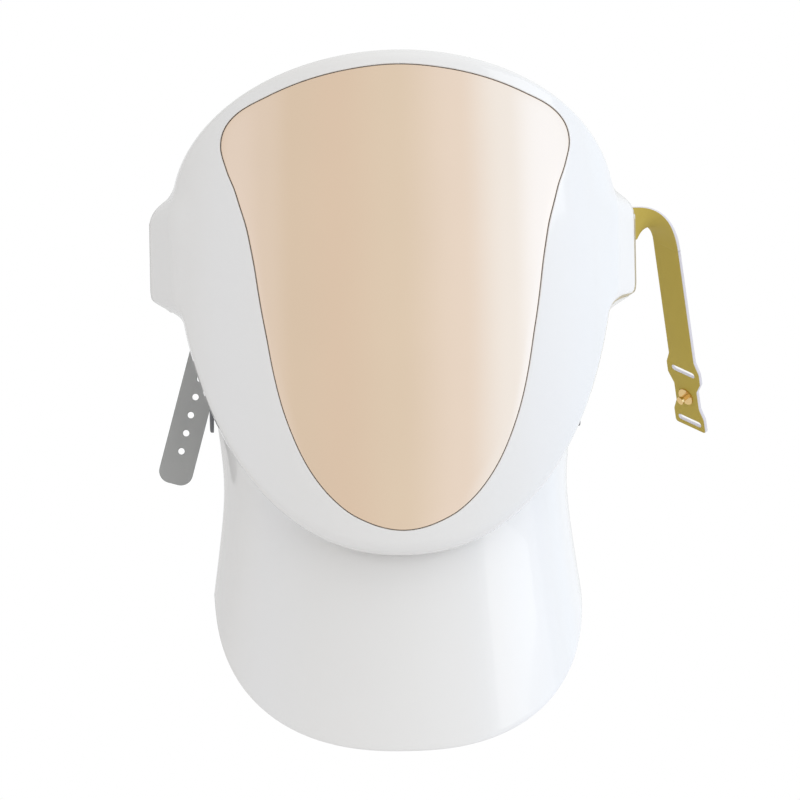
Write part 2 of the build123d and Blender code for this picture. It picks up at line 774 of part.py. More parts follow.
write("neck_shell", neck_shell)
cap_side = neck_radius(pivot_height + pivot_cap_radius) + pivot_cap_gap
pin = cross_rod(bracket_side - bracket_thickness, cap_side, pivot_radius)
pin += cross_rod(bracket_side, bracket_side + pivot_collar, pivot_collar_radius)
write("neck_pivot_pins", pin, mirrored(pin))
cap = cross_rod(cap_side, cap_side + pivot_cap, pivot_cap_radius)
cap = fillet(cap.edges().sort_by(Axis.X)[-1], pivot_cap / 2)
write("pivot_caps", cap, mirrored(cap))

# Light unit of the neck
neck_board_back = neck_board_depth + board_thickness
neck_holes = [rod(x, z, -face_radius, neck_axis, screw_radius + hole_gap) for x, z, _ in neck_posts]
neck_board = (neck_solid(neck_board_depth) - neck_solid(neck_board_back)) & neck_region(
    neck_board_inset, neck_unit_top - neck_unit_inset)
write("neck_led_board", neck_board.cut(*neck_holes))


def neck_facing(side, height, depth):
    """A plane on the neck's inner layers whose normal points at the wearer."""
    rise = height - neck_waist_height
    slope = neck_flare_share * rise / math.hypot(rise, neck_bend)
    return inward_plane(side, height, neck_axis, neck_radius(height) - depth, slope)


def inside_bib(side, height, margin):
    """Whether a point keeps a margin inside the neck part's outline."""
    drop = bib_height - height
    low = superellipse_radius(math.degrees(math.atan2(-max(drop, 0), side)), bib_half_width, bib_drop, bib_power)
    return math.hypot(side, max(drop, 0)) < low - margin


neck_led_points = [
    (x, z) for x, z in grid(neck_led_pitch, bib_height - bib_drop, neck_unit_top - neck_board_inset)
    if inside_bib(x, z, neck_board_inset + led_margin) and abs(x) < neck_led_reach
    and outline_reach(x, z, shell_radius) < neck_tuck - neck_board_inset - led_margin
    and clear_of_posts(x, z, [(px, pz) for px, pz, _ in neck_posts], post_radius + led_margin)
]
neck_led_back = neck_board_back + led_seat
write("neck_leds", *[neck_facing(x, z, neck_led_back) * led_chip for x, z in neck_led_points])

unit_region = neck_region(neck_unit_inset, neck_unit_top)
sheet = (neck_solid(neck_liner_depth) - neck_solid(neck_liner_depth + liner_thickness)) & unit_region
wall = (neck_solid(neck_wall + neck_wall_gap) - neck_solid(neck_liner_depth + liner_thickness / 2)) & unit_region
wall = wall - neck_region(neck_unit_inset + liner_thickness, neck_unit_top - liner_thickness)
neck_seats = [y + neck_liner_depth + liner_thickness / 2 for _, _, y in neck_posts]
neck_pockets = [rod(x, z, seat, neck_axis, screw_head_radius + hole_gap)
                for (x, z, _), seat in zip(neck_posts, neck_seats)]
write("neck_liner", (sheet + wall).cut(*neck_holes, *neck_pockets))
neck_screws = []
for (x, z, y), seat in zip(neck_posts, neck_seats):
    tip = y + neck_board_depth - screw_bite + hole_gap
    shank = rod(x, z, tip, seat, screw_radius - pin_fit_gap)
    neck_screws.append(shank + rod(x, z, seat, seat + screw_head, screw_head_radius))
write("neck_screws", *neck_screws)

# Silicone seal round the liner's edge, notched for the brackets
seal = slab(pad_front, pad_front + seal_depth) & outline_prism(shell_radius, shell_wall + seat_gap)
seal = seal - outline_prism(shell_radius, shell_wall + seat_gap + seal_width)
notch = Pos(0, 0, pivot_height) * Box(bracket_side * 2 + seat_gap * 2, face_radius * 2,
                                      bracket_half_height * 2 + seat_gap * 2)
core = Pos(0, 0, pivot_height) * Box((bracket_side - bracket_thickness - seat_gap) * 2, face_radius * 2,
                                     bracket_half_height * 2 + seat_gap * 2)
write("edge_seal", seal - (notch - core))
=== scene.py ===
"""Looks of the light-therapy face mask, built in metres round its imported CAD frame."""
from __future__ import annotations

import json
import logging
import math
from dataclasses import dataclass
from enum import Enum
from typing import Callable, Iterable, Sequence

import bmesh
import bpy
from mathutils import Matrix, Vector

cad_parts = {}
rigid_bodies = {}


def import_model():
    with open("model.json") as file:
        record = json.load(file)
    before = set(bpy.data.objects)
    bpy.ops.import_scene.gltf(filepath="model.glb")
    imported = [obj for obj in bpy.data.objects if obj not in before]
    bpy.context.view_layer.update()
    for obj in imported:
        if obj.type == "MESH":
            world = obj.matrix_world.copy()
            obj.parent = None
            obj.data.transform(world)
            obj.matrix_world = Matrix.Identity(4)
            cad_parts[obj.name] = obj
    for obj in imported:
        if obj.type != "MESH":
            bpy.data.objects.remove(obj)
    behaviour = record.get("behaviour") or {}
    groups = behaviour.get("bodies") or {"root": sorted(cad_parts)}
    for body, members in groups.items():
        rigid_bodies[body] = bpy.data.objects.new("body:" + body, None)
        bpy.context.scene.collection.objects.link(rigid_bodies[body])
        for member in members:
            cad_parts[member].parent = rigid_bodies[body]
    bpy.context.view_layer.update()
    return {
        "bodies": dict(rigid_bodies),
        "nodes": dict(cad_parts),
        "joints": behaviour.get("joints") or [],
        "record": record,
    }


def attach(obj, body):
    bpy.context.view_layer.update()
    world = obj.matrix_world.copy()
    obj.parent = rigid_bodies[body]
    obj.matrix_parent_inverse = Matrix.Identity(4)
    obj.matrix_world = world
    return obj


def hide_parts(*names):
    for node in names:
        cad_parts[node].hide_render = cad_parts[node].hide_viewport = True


log = logging.getLogger("scene")
MM = 0.001
QUARTER = math.pi / 2
HALVINGS = 40
WELD_REACH = 1e-6
Flat = tuple[float, float]
Point = tuple[float, float, float]
Ring = list[Vector]
Run = tuple[bpy.types.Node, str | int, bpy.types.Node, str | int]


# Shapes shared with the CAD part, in millimetres

VISOR_EDGE_SHARES = (
    (-90.0, 0.929), (-81.4, 0.907), (-76.4, 0.881), (-71.1, 0.846), (-62.2, 0.782), (-51.9, 0.722),
    (-42.2, 0.687), (-25.3, 0.669), (-11.9, 0.679), (-3.3, 0.699), (6.1, 0.741), (13.3, 0.812),
    (19.6, 0.886), (25.4, 0.928), (31.5, 0.939), (40.5, 0.922), (52.0, 0.912), (70.0, 0.906),
    (90.0, 0.909),
)


def superellipse_radius(angle: float, half_width: float, half_height: float, power: float) -> float:
    """Radius of a superellipse in a direction.

    Args:
        angle: Direction in degrees from the width axis.
        half_width: Half of its width.
        half_height: Half of its height.
        power: Its exponent; 2 gives an ellipse.

    Returns:
        The distance from its centre to its edge.
    """
    across = abs(math.cos(math.radians(angle))) / half_width
    along = abs(math.sin(math.radians(angle))) / half_height
    return (across**power + along**power) ** (-1 / power)


def smooth_share(table: Sequence[Flat], angle: float) -> float:
    """Smooth curve through a table of angle and share.

    Args:
        table: Rows of angle and share, by rising angle.
        angle: The angle to read it at.

    Returns:
        The share at that angle.
    """
    last = len(table) - 1
    place = max(i for i in range(last) if table[i][0] <= angle or i == 0)
    low, high = table[place], table[place + 1]
    span = high[0] - low[0]

    def slope(i: int) -> float:
        """Steepness at a row of the table; both ends are level.

        Args:
            i: The row.

        Returns:
            The steepness.
        """
        if i in (0, last):
            return 0.0
        return (table[i + 1][1] - table[i - 1][1]) / (table[i + 1][0] - table[i - 1][0])

    t = (angle - low[0]) / span
    rise = low[1] * (1 + 2 * t) * (1 - t) ** 2 + high[1] * t**2 * (3 - 2 * t)
    return rise + span * (slope(place) * t * (1 - t) ** 2 - slope(place + 1) * t**2 * (1 - t))


def clamped(value: float) -> float:
    """A value kept from 0 to 1."""
    return max(0.0, min(1.0, value))


def halved(low: float, high: float, beyond: Callable[[float], bool]) -> Flat:
    """Closes in by halving on the place where a test turns true.

    Args:
        low: A place before it.
        high: A place past it.
        beyond: The test.

    Returns:
        The nearest places before and past it.
    """
    for _ in range(HALVINGS):
        middle = (low + high) / 2
        if beyond(middle):
            high = middle
        else:
            low = middle
    return low, high


@dataclass(frozen=True)
class FaceForm:
    """The face shell's curve and outlines, as the CAD part has them."""

    half_width: float = 100.0
    widest_height: float = 20.0
    rise: float = 70.5
    drop: float = 158.0
    upper_power: float = 2.0
    lower_power: float = 2.2
    wall: float = 2.4
    radius: float = 107.0
    fullest_height: float = -20.0
    bow: float = 470.0
    roll: float = 8.0
    rim_depth: float = 24.0
    floor_depth: float = 2.1

    def outline(self, angle: float) -> float:
        """Radius of the shell's outline about its widest height.

        Args:
            angle: Direction seen from the front, in degrees.

        Returns:
            The radius.
        """
        if math.sin(math.radians(angle)) >= 0:
            return superellipse_radius(angle, self.half_width, self.rise, self.upper_power)
        return superellipse_radius(angle, self.half_width, self.drop, self.lower_power)

    def visor(self, angle: float) -> float:
        """Radius of the visor's edge about the shell's widest height."""
        folded = math.degrees(math.asin(math.sin(math.radians(angle))))
        return smooth_share(VISOR_EDGE_SHARES, folded) * self.outline(angle)

    def reach(self, height: float) -> float:
        """Horizontal radius of the face curve at a height."""
        return self.radius - (self.bow - math.sqrt(self.bow**2 - (height - self.fullest_height) ** 2))

    def pushed(self, side: float, height: float, back: float = 0.0) -> Vector:
        """Point of the face curve seen from the front, pushed back along Y."""
        return Vector((side, back - math.sqrt(self.reach(height) ** 2 - side**2), height))

    def within(self, side: float, height: float, depth: float) -> Vector:
        """Point of the face curve seen from the front, with a depth taken off all round."""
        return Vector((side, -math.sqrt((self.reach(height) - depth) ** 2 - side**2), height))

    def polar(self, radius: float, angle: float) -> Flat:
        """Side and height of a point by radius and angle about the widest height."""
        turn = math.radians(angle)
        return radius * math.cos(turn), self.widest_height + radius * math.sin(turn)


@dataclass(frozen=True)
class NeckForm:
    """The neck part's barrel and its outline, as the CAD part has them."""

    axis: float = 14.0
    waist: float = 78.0
    waist_height: float = -106.0
    flare: float = 0.15
    bend: float = 15.3
    wall: float = 2.4
    top: float = -62.0
    bib_height: float = -156.0
    bib_half_width: float = 83.6
    bib_drop: float = 70.6
    bib_power: float = 2.38
    tuck: float = 7.0
    pivot_height: float = -74.0
    pivot_back: float = 2.0
    pivot_reach: float = 12.0

    def reach(self, height: float) -> float:
        """Horizontal radius of the outer surface at a height."""
        return self.waist + self.flare * (math.hypot(height - self.waist_height, self.bend) - self.bend)

    def point(self, turn: float, height: float, depth: float) -> Vector:
        """Point of the barrel by its turn from the front in radians, its height and its depth."""
        reach = self.reach(height) - depth
        return Vector((reach * math.sin(turn), self.axis - reach * math.cos(turn), height))

    def lowest(self, turn: float) -> float:
        """Height of the lower edge.

        Args:
            turn: Direction round the barrel from the front, in radians.

        Returns:
            The height.
        """

        def inside(height: float) -> bool:
            """Whether the barrel at a height lies within the lower edge's outline.

            Args:
                height: The height.

            Returns:
                True if it does.
            """
            side, drop = abs(self.reach(height) * math.sin(turn)), self.bib_height - height
            direction = math.degrees(math.atan2(drop, side))
            span = superellipse_radius(direction, self.bib_half_width, self.bib_drop, self.bib_power)
            return math.hypot(side, drop) <= span

        return halved(self.bib_height - self.bib_drop, self.bib_height, inside)[1]

    def highest(self, turn: float, face: FaceForm) -> float:
        """Height of the upper edge, which tucks behind the face shell's rim.

        Args:
            turn: Direction round the barrel from the front, in radians.
            face: The face shell's form.

        Returns:
            The height.
        """

        def tucked(height: float) -> bool:
            """Whether the barrel at a height lies behind the face shell."""
            side, up = abs(self.reach(height) * math.sin(turn)), height - face.widest_height
            return math.hypot(side, up) < face.outline(math.degrees(math.atan2(up, side))) - self.tuck

        edge = halved(self.bib_height, self.top, tucked)[0]
        arm = self.pivot_height
        back = self.axis - self.reach(self.pivot_height) * math.cos(turn) - self.pivot_back
        if abs(back) < self.pivot_reach:
            arm += math.sqrt(self.pivot_reach**2 - back**2)
        return min(edge, arm)


@dataclass(frozen=True)
class BossForm:
    """The strap boss at ear height, its crease a little further forward than in the CAD part."""

    side: float = 110.5
    root: float = 92.0
    crease: float = 101.4
    crease_depth: float = 37.0
    crease_share: float = 0.38
    round_share: float = 0.08
    back_depth: float = 8.0
    inner: float = 98.8
    swell_shares: tuple[Flat, ...] = (
        (-32.0, 0.0), (-29.0, 0.08), (-26.5, 0.30), (-23.5, 0.66), (-21.0, 0.92), (-18.0, 0.99),
        (-13.0, 1.0), (-4.0, 1.0), (7.0, 1.0), (13.0, 0.99), (17.0, 0.90), (20.0, 0.73),
        (23.0, 0.44), (25.5, 0.18), (31.0, 0.0),
    )

    def weight(self, height: float) -> float:
        """How far the boss has swollen out.

        Args:
            height: The height, in millimetres.

        Returns:
            A share from 0 to 1.
        """
        if not self.swell_shares[0][0] < height < self.swell_shares[-1][0]:
            return 0.0
        return clamped(smooth_share(self.swell_shares, height))

    def section(self, share: float, start: float) -> Flat:
        """Side and depth along the boss's level section.

        Args:
            share: 0 where it leaves the face curve, 1 at its rear edge.
            start: Depth where it leaves the face curve.

        Returns:
            The side and Y of the point.
        """
        first = (self.root, start)
        bend = (self.crease, -self.crease_depth)
        last = (self.side, -self.back_depth)
        low, high = self.crease_share - self.round_share, self.crease_share + self.round_share

        def straight(where: float) -> Flat:
            """Point of the section with its crease left sharp.

            Args:
                where: Share of the section's length.

            Returns:
                Its side and Y.
            """
            if where < self.crease_share:
                t, a, b = where / self.crease_share, first, bend
            else:
                t, a, b = (where - self.crease_share) / (1 - self.crease_share), bend, last
            return a[0] + (b[0] - a[0]) * t, a[1] + (b[1] - a[1]) * t

        if low < share < high:
            t = (share - low) / (high - low)
            a, b, c = straight(low), bend, straight(high)
            return tuple(a[k] * (1 - t) ** 2 + b[k] * 2 * t * (1 - t) + c[k] * t * t for k in (0, 1))
        return straight(share)


FACE = FaceForm()
NECK = NeckForm()
BOSS = BossForm()


# Finishes

@dataclass(frozen=True)
class Finish:
    """One surface finish."""

    name: str
    tint: Point
    shade: Point
    rough_low: float = 0.3
    rough_high: float = 0.4
    grain: float = 900.0
    bump: float = 0.02
    metallic: float = 0.0
    coat: float = 0.0
    subsurface: float = 0.0
    specular: float = 0.5


class Finishes(Enum):
    """Every finish on the part."""

    SHELL = Finish("shell_white", (0.92, 0.907, 0.89), (0.905, 0.892, 0.876), 0.14, 0.2, 420.0, 0.004,
                   coat=0.8)
    VISOR = Finish("visor_mirror", (0.80, 0.625, 0.475), (0.77, 0.60, 0.455), 0.075, 0.11, 260.0, 0.002,
                   metallic=1.0)
    # Painted shade: the left strap half is the same pale silicone as the right one, painted this darker grey
    # for the shade it lies in behind the shell.
    STRAP_PAINTED_SHADE_GREY = Finish("strap_grey", (0.46, 0.46, 0.45), (0.42, 0.42, 0.41), 0.5, 0.62, 1500.0, 0.02,
                        specular=0.25)
    # Painted shade: the left strap half's band edges are painted near black for the shade that falls on them
    # behind the shell.
    STRAP_EDGE_PAINTED_SHADE = Finish("strap_edge_painted_shade", (0.12, 0.14, 0.13), (0.10, 0.12, 0.11), 0.5, 0.6, 1500.0,
                             0.02)
    STRAP_GOLD = Finish("strap_gold", (0.60, 0.46, 0.095), (0.54, 0.41, 0.08), 0.5, 0.62, 1500.0, 0.02,
                        specular=0.15)
    STRAP_PALE = Finish("strap_pale", (0.80, 0.78, 0.83), (0.76, 0.74, 0.79), 0.42, 0.55, 1500.0, 0.02)
    STUD = Finish("stud_gold", (0.83, 0.60, 0.28), (0.78, 0.55, 0.25), 0.18, 0.28, 1200.0, 0.01,
                  metallic=1.0)
    STEEL = Finish("steel", (0.60, 0.60, 0.61), (0.50, 0.50, 0.51), 0.25, 0.4, 2400.0, 0.02, metallic=1.0)
    CAP = Finish("cap_grey", (0.17, 0.17, 0.18), (0.14, 0.14, 0.15), 0.45, 0.6, 1800.0, 0.03)
    BRACKET = Finish("bracket_grey", (0.45, 0.45, 0.46), (0.40, 0.40, 0.41), 0.45, 0.6, 1800.0, 0.03)
    LINER = Finish("liner_milk", (0.82, 0.82, 0.83), (0.79, 0.79, 0.80), 0.28, 0.36, 700.0, 0.006,
                   subsurface=0.2)
    SILICONE = Finish("silicone_white", (0.80, 0.80, 0.81), (0.76, 0.76, 0.77), 0.5, 0.62, 1300.0, 0.02,
                      subsurface=0.3)
    LENS = Finish("lens_amber", (0.86, 0.66, 0.40), (0.82, 0.62, 0.37), 0.14, 0.2, 900.0, 0.004, coat=0.4,
                  subsurface=0.2)
    BOARD = Finish("board_green", (0.03, 0.16, 0.07), (0.02, 0.12, 0.05), 0.3, 0.45, 800.0, 0.02)
    LED = Finish("led_amber", (0.9, 0.62, 0.25), (0.85, 0.56, 0.2), 0.12, 0.2, 900.0, 0.005, coat=0.5)
    CHIP = Finish("chip_black", (0.02, 0.02, 0.02), (0.015, 0.015, 0.015), 0.4, 0.55, 2000.0, 0.03)
    CELL = Finish("cell_foil", (0.6, 0.61, 0.63), (0.54, 0.55, 0.57), 0.3, 0.45, 600.0, 0.05, metallic=1.0)
    BUTTON = Finish("button_grey", (0.36, 0.36, 0.38), (0.32, 0.32, 0.34), 0.4, 0.5, 1800.0, 0.02)


BROAD_SCALE = 18.0
BROAD_DETAIL = 3.0
FINE_DETAIL = 2.0
GRAIN_HEIGHT = 0.0004
SCATTER_REACH = 0.002


def add_sockets(group: bpy.types.NodeTree, in_out: str, sockets: dict[str, str]) -> None:
    """Gives a node group its named sockets.

    Args:
        group: The group.
        in_out: Whether each is an INPUT or an OUTPUT.
        sockets: Each socket's name and kind.
    """
    for name, kind in sockets.items():
        group.interface.new_socket(name=name, in_out=in_out, socket_type=f"NodeSocket{kind}")


def wire(tree: bpy.types.NodeTree, *runs: Run) -> None:
    """Links the nodes of a tree.

    Args:
        tree: The tree.
        runs: Each link's source node and output, and its target node and input.
    """
    for source, output, target, entry in runs:
        tree.links.new(source.outputs[output], target.inputs[entry])


def finish_group() -> bpy.types.NodeTree:
    """The node group that varies tint, roughness and grain over a surface.

    Returns:
        The group, made once.
    """
    group = bpy.data.node_groups.get("moulded_variation")
    if group:
        return group
    group = bpy.data.node_groups.new("moulded_variation", "ShaderNodeTree")
    add_sockets(group, "INPUT", {"Tint": "Color", "Shade": "Color", "Rough Low": "Float",
                                 "Rough High": "Float", "Grain": "Float", "Bump": "Float"})
    add_sockets(group, "OUTPUT", {"Color": "Color", "Roughness": "Float", "Normal": "Vector"})
    nodes = group.nodes
    source, sink = nodes.new("NodeGroupInput"), nodes.new("NodeGroupOutput")
    place, mix = nodes.new("ShaderNodeTexCoord"), nodes.new("ShaderNodeMix")
    broad, fine = nodes.new("ShaderNodeTexNoise"), nodes.new("ShaderNodeTexNoise")
    spread, bump = nodes.new("ShaderNodeMapRange"), nodes.new("ShaderNodeBump")
    mix.data_type = "RGBA"
    broad.inputs["Scale"].default_value = BROAD_SCALE
    broad.inputs["Detail"].default_value = BROAD_DETAIL
    fine.inputs["Detail"].default_value = FINE_DETAIL
    bump.inputs["Distance"].default_value = GRAIN_HEIGHT
    wire(group, (place, "Object", broad, "Vector"), (place, "Object", fine, "Vector"),
         (source, "Grain", fine, "Scale"), (broad, "Fac", mix, "Factor"), (source, "Tint", mix, "A"),
         (source, "Shade", mix, "B"), (mix, "Result", sink, "Color"), (broad, "Fac", spread, "Value"),
         (source, "Rough Low", spread, "To Min"), (source, "Rough High", spread, "To Max"),
         (spread, "Result", sink, "Roughness"), (fine, "Fac", bump, "Height"),
         (source, "Bump", bump, "Strength"), (bump, "Normal", sink, "Normal"))
    return group


def material(finish: Finishes) -> bpy.types.Material:
    """The material of a finish.

    Args:
        finish: Which finish.

    Returns:
        Its material, made once.
    """
    facts = finish.value
    name = f"{facts.name}_look"
    found = bpy.data.materials.get(name)
    if found:
        return found
    made = bpy.data.materials.new(name)
    made.use_nodes = True
    nodes = made.node_tree.nodes
    shader = next(n for n in nodes if n.type == "BSDF_PRINCIPLED")
    group = nodes.new("ShaderNodeGroup")
    group.node_tree = finish_group()
    varied = {"Tint": (*facts.tint, 1.0), "Shade": (*facts.shade, 1.0), "Rough Low": facts.rough_low,
              "Rough High": facts.rough_high, "Grain": facts.grain, "Bump": facts.bump}
    plain = {"Metallic": facts.metallic, "Coat Weight": facts.coat, "Specular IOR Level": facts.specular,
             "Subsurface Weight": facts.subsurface, "Subsurface Scale": SCATTER_REACH}
    for node, values in ((group, varied), (shader, plain)):
        for entry, value in values.items():
            node.inputs[entry].default_value = value
    wire(made.node_tree, (group, "Color", shader, "Base Color"),
         (group, "Roughness", shader, "Roughness"), (group, "Normal", shader, "Normal"))
    return made


# Mesh making

@dataclass(frozen=True)
class Lattice:
    """A sheet of faces through rows of points in millimetres, all rows of one length."""

    rows: Sequence[Ring]
    close_rows: bool = False
    close_columns: bool = False
    cap_ends: bool = False

    def add_to(self, mesh: bmesh.types.BMesh) -> None:
        """Adds the sheet to a mesh.

        Args:
            mesh: The mesh to add to.
        """
        grid = [[mesh.verts.new(point * MM) for point in row] for row in self.rows]
        count = len(grid[0])
        last_row = len(grid) if self.close_columns else len(grid) - 1
        last_column = count if self.close_rows else count - 1
        outlines = []
        for i in range(last_row):
            for j in range(last_column):
                a, b = grid[i], grid[(i + 1) % len(grid)]
                outlines.append([a[j], a[(j + 1) % count], b[(j + 1) % count], b[j]])
        if self.cap_ends:
            outlines += [grid[0][::-1], grid[-1]]
        for corners in outlines:
            mesh.faces.new(corners).smooth = True


def finished(name: str, mesh: bmesh.types.BMesh, finishes: Sequence[Finishes]) -> bpy.types.Object:
    """Turns a working mesh into an object of the scene, its faces outwards.

    Args:
        name: The piece's name.
        mesh: The working mesh, freed here.
        finishes: The finishes, in slot order.

    Returns:
        The object.
    """
    bmesh.ops.recalc_face_normals(mesh, faces=mesh.faces)
    data = bpy.data.meshes.new(name)
    mesh.to_mesh(data)
    mesh.free()
    piece = bpy.data.objects.new(name, data)
    bpy.context.scene.collection.objects.link(piece)
    for finish in finishes:
        data.materials.append(material(finish))
    return piece


def arc(start: float, end: float, count: int) -> list[float]:
    """Evenly spaced values from start to end.

    Args:
        start: The first value.
        end: The last value.
        count: How many steps lie between them.

    Returns:
        count + 1 values.
    """
    return [start + (end - start) * i / count for i in range(count + 1)]


def rounded(corners: Sequence[Flat], radii: Sequence[float], steps: int = 8) -> list[Flat]:
    """A closed outline with rounded corners.

    Args:
        corners: The corner points.
        radii: Each corner's radius.
        steps: How many steps each corner takes.

    Returns:
        The outline's points.
    """
    points = []
    count = len(corners)
    for i, (corner, radius) in enumerate(zip(corners, radii)):
        here = Vector(corner)
        before = (Vector(corners[i - 1]) - here).normalized()
        after = (Vector(corners[(i + 1) % count]) - here).normalized()
        if radius <= 0:
            points.append(tuple(here))
            continue
        half = math.acos(max(-1, min(1, before.dot(after)))) / 2
        centre = here + (before + after).normalized() * radius / math.sin(half)
        first = here + before * radius / math.tan(half) - centre
        last = here + after * radius / math.tan(half) - centre
        turn = first.angle_signed(last)
        for step in range(steps + 1):
            offset = first.copy()
            offset.rotate(Matrix.Rotation(-turn * step / steps, 2))
            points.append(tuple(centre + offset))
    return points


def curved(centre: Flat, radius: float, start: float, end: float, steps: int) -> list[Flat]:
    """Points along part of a circle.

    Args:
        centre: Its centre.
        radius: Its radius.
        start: Where it starts, in radians.
        end: Where it ends, in radians.
        steps: How many steps it takes.

    Returns:
        The points, with both ends.
    """
    return [(centre[0] + radius * math.cos(turn), centre[1] + radius * math.sin(turn))
            for turn in arc(start, end, steps)]


def circle(centre: Flat, radius: float, steps: int = 32) -> list[Flat]:
    """Points of a whole circle."""
    return curved(centre, radius, 0, math.tau, steps)[:-1]


def slot_outline(centre: Flat, length: float, width: float, steps: int = 10) -> list[Flat]:
    """Points of a slot along the first axis.

    Args:
        centre: Its centre.
        length: Its whole length.
        width: Its width.
        steps: How many steps each rounded end takes.

    Returns:
        The points.
    """
    run, radius = (length - width) / 2, width / 2
    right = curved((centre[0] + run, centre[1]), radius, -QUARTER, QUARTER, steps)
    left = curved((centre[0] - run, centre[1]), radius, QUARTER, QUARTER * 3, steps)
    return right + left


@dataclass(frozen=True)
class Place:
    """A plane in space: an origin, its X direction and its normal."""

    origin: Vector
    across: Vector
    normal: Vector

    def matrix(self) -> Matrix:
        """The plane's matrix, in metres.

        Returns:
            The matrix.
        """
        along = self.normal.cross(self.across)
        turn = Matrix((self.across, along, self.normal)).transposed().to_4x4()
        return Matrix.Translation(self.origin * MM) @ turn


def cutout(outline: Sequence[Flat], holes: Iterable[Sequence[Flat]], place: Place, thickness: float,
           edge: float, edge_steps: int = 3) -> bpy.types.Mesh:
    """A flat sheet with holes and softened edges, centred on a plane.

    Args:
        outline: Its outline on the plane.
        holes: The outlines of its holes.
        place: The plane through its middle.
        thickness: Its thickness.
        edge: The radius of its softened edges.
        edge_steps: How finely the edges are rounded.

    Returns:
        The mesh, placed.
    """
    curve = bpy.data.curves.new("cutout", "CURVE")
    curve.dimensions = "2D"
    curve.fill_mode = "BOTH"
    curve.extrude = (thickness / 2 - edge) * MM
    curve.bevel_depth = edge * MM
    curve.bevel_resolution = edge_steps
    curve.offset = -edge * MM
    for points in (outline, *holes):
        spline = curve.splines.new("POLY")
        spline.points.add(len(points) - 1)
        for point, (x, y) in zip(spline.points, points):
            point.co = (x * MM, y * MM, 0, 1)
        spline.use_cyclic_u = True
    maker = bpy.data.objects.new("cutout", curve)
    bpy.context.scene.collection.objects.link(maker)
    shape = bpy.data.meshes.new_from_object(maker.evaluated_get(bpy.context.evaluated_depsgraph_get()))
    weld = bmesh.new()
    weld.from_mesh(shape)
    bmesh.ops.remove_doubles(weld, verts=weld.verts, dist=WELD_REACH)
    weld.to_mesh(shape)
    weld.free()
    bpy.data.objects.remove(maker)
    bpy.data.curves.remove(curve)
    shape.transform(place.matrix())
    return shape


# The pieces

class Piece:
    """A piece of the scene that rides on a body of the frame."""

    name = ""
    body = "mask"
    stands_for: tuple[str, ...] = ()
    slot = "shell_white"
    finishes: tuple[Finishes, ...] = (Finishes.SHELL,)
    fill: float | None = None

    def build(self, mesh: bmesh.types.BMesh) -> None:
        """Fills the working mesh.

        Args:
            mesh: The mesh to fill.
        """
        raise NotImplementedError

    def make(self) -> bpy.types.Object:
        """Returns:
            The finished object.
        """
        mesh = bmesh.new()
        self.build(mesh)
        made = finished(self.name, mesh, self.finishes)
        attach(made, self.body)
        if self.stands_for:
            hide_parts(*self.stands_for)
        log.info("%s: %d faces", self.name, len(made.data.polygons))
        return made


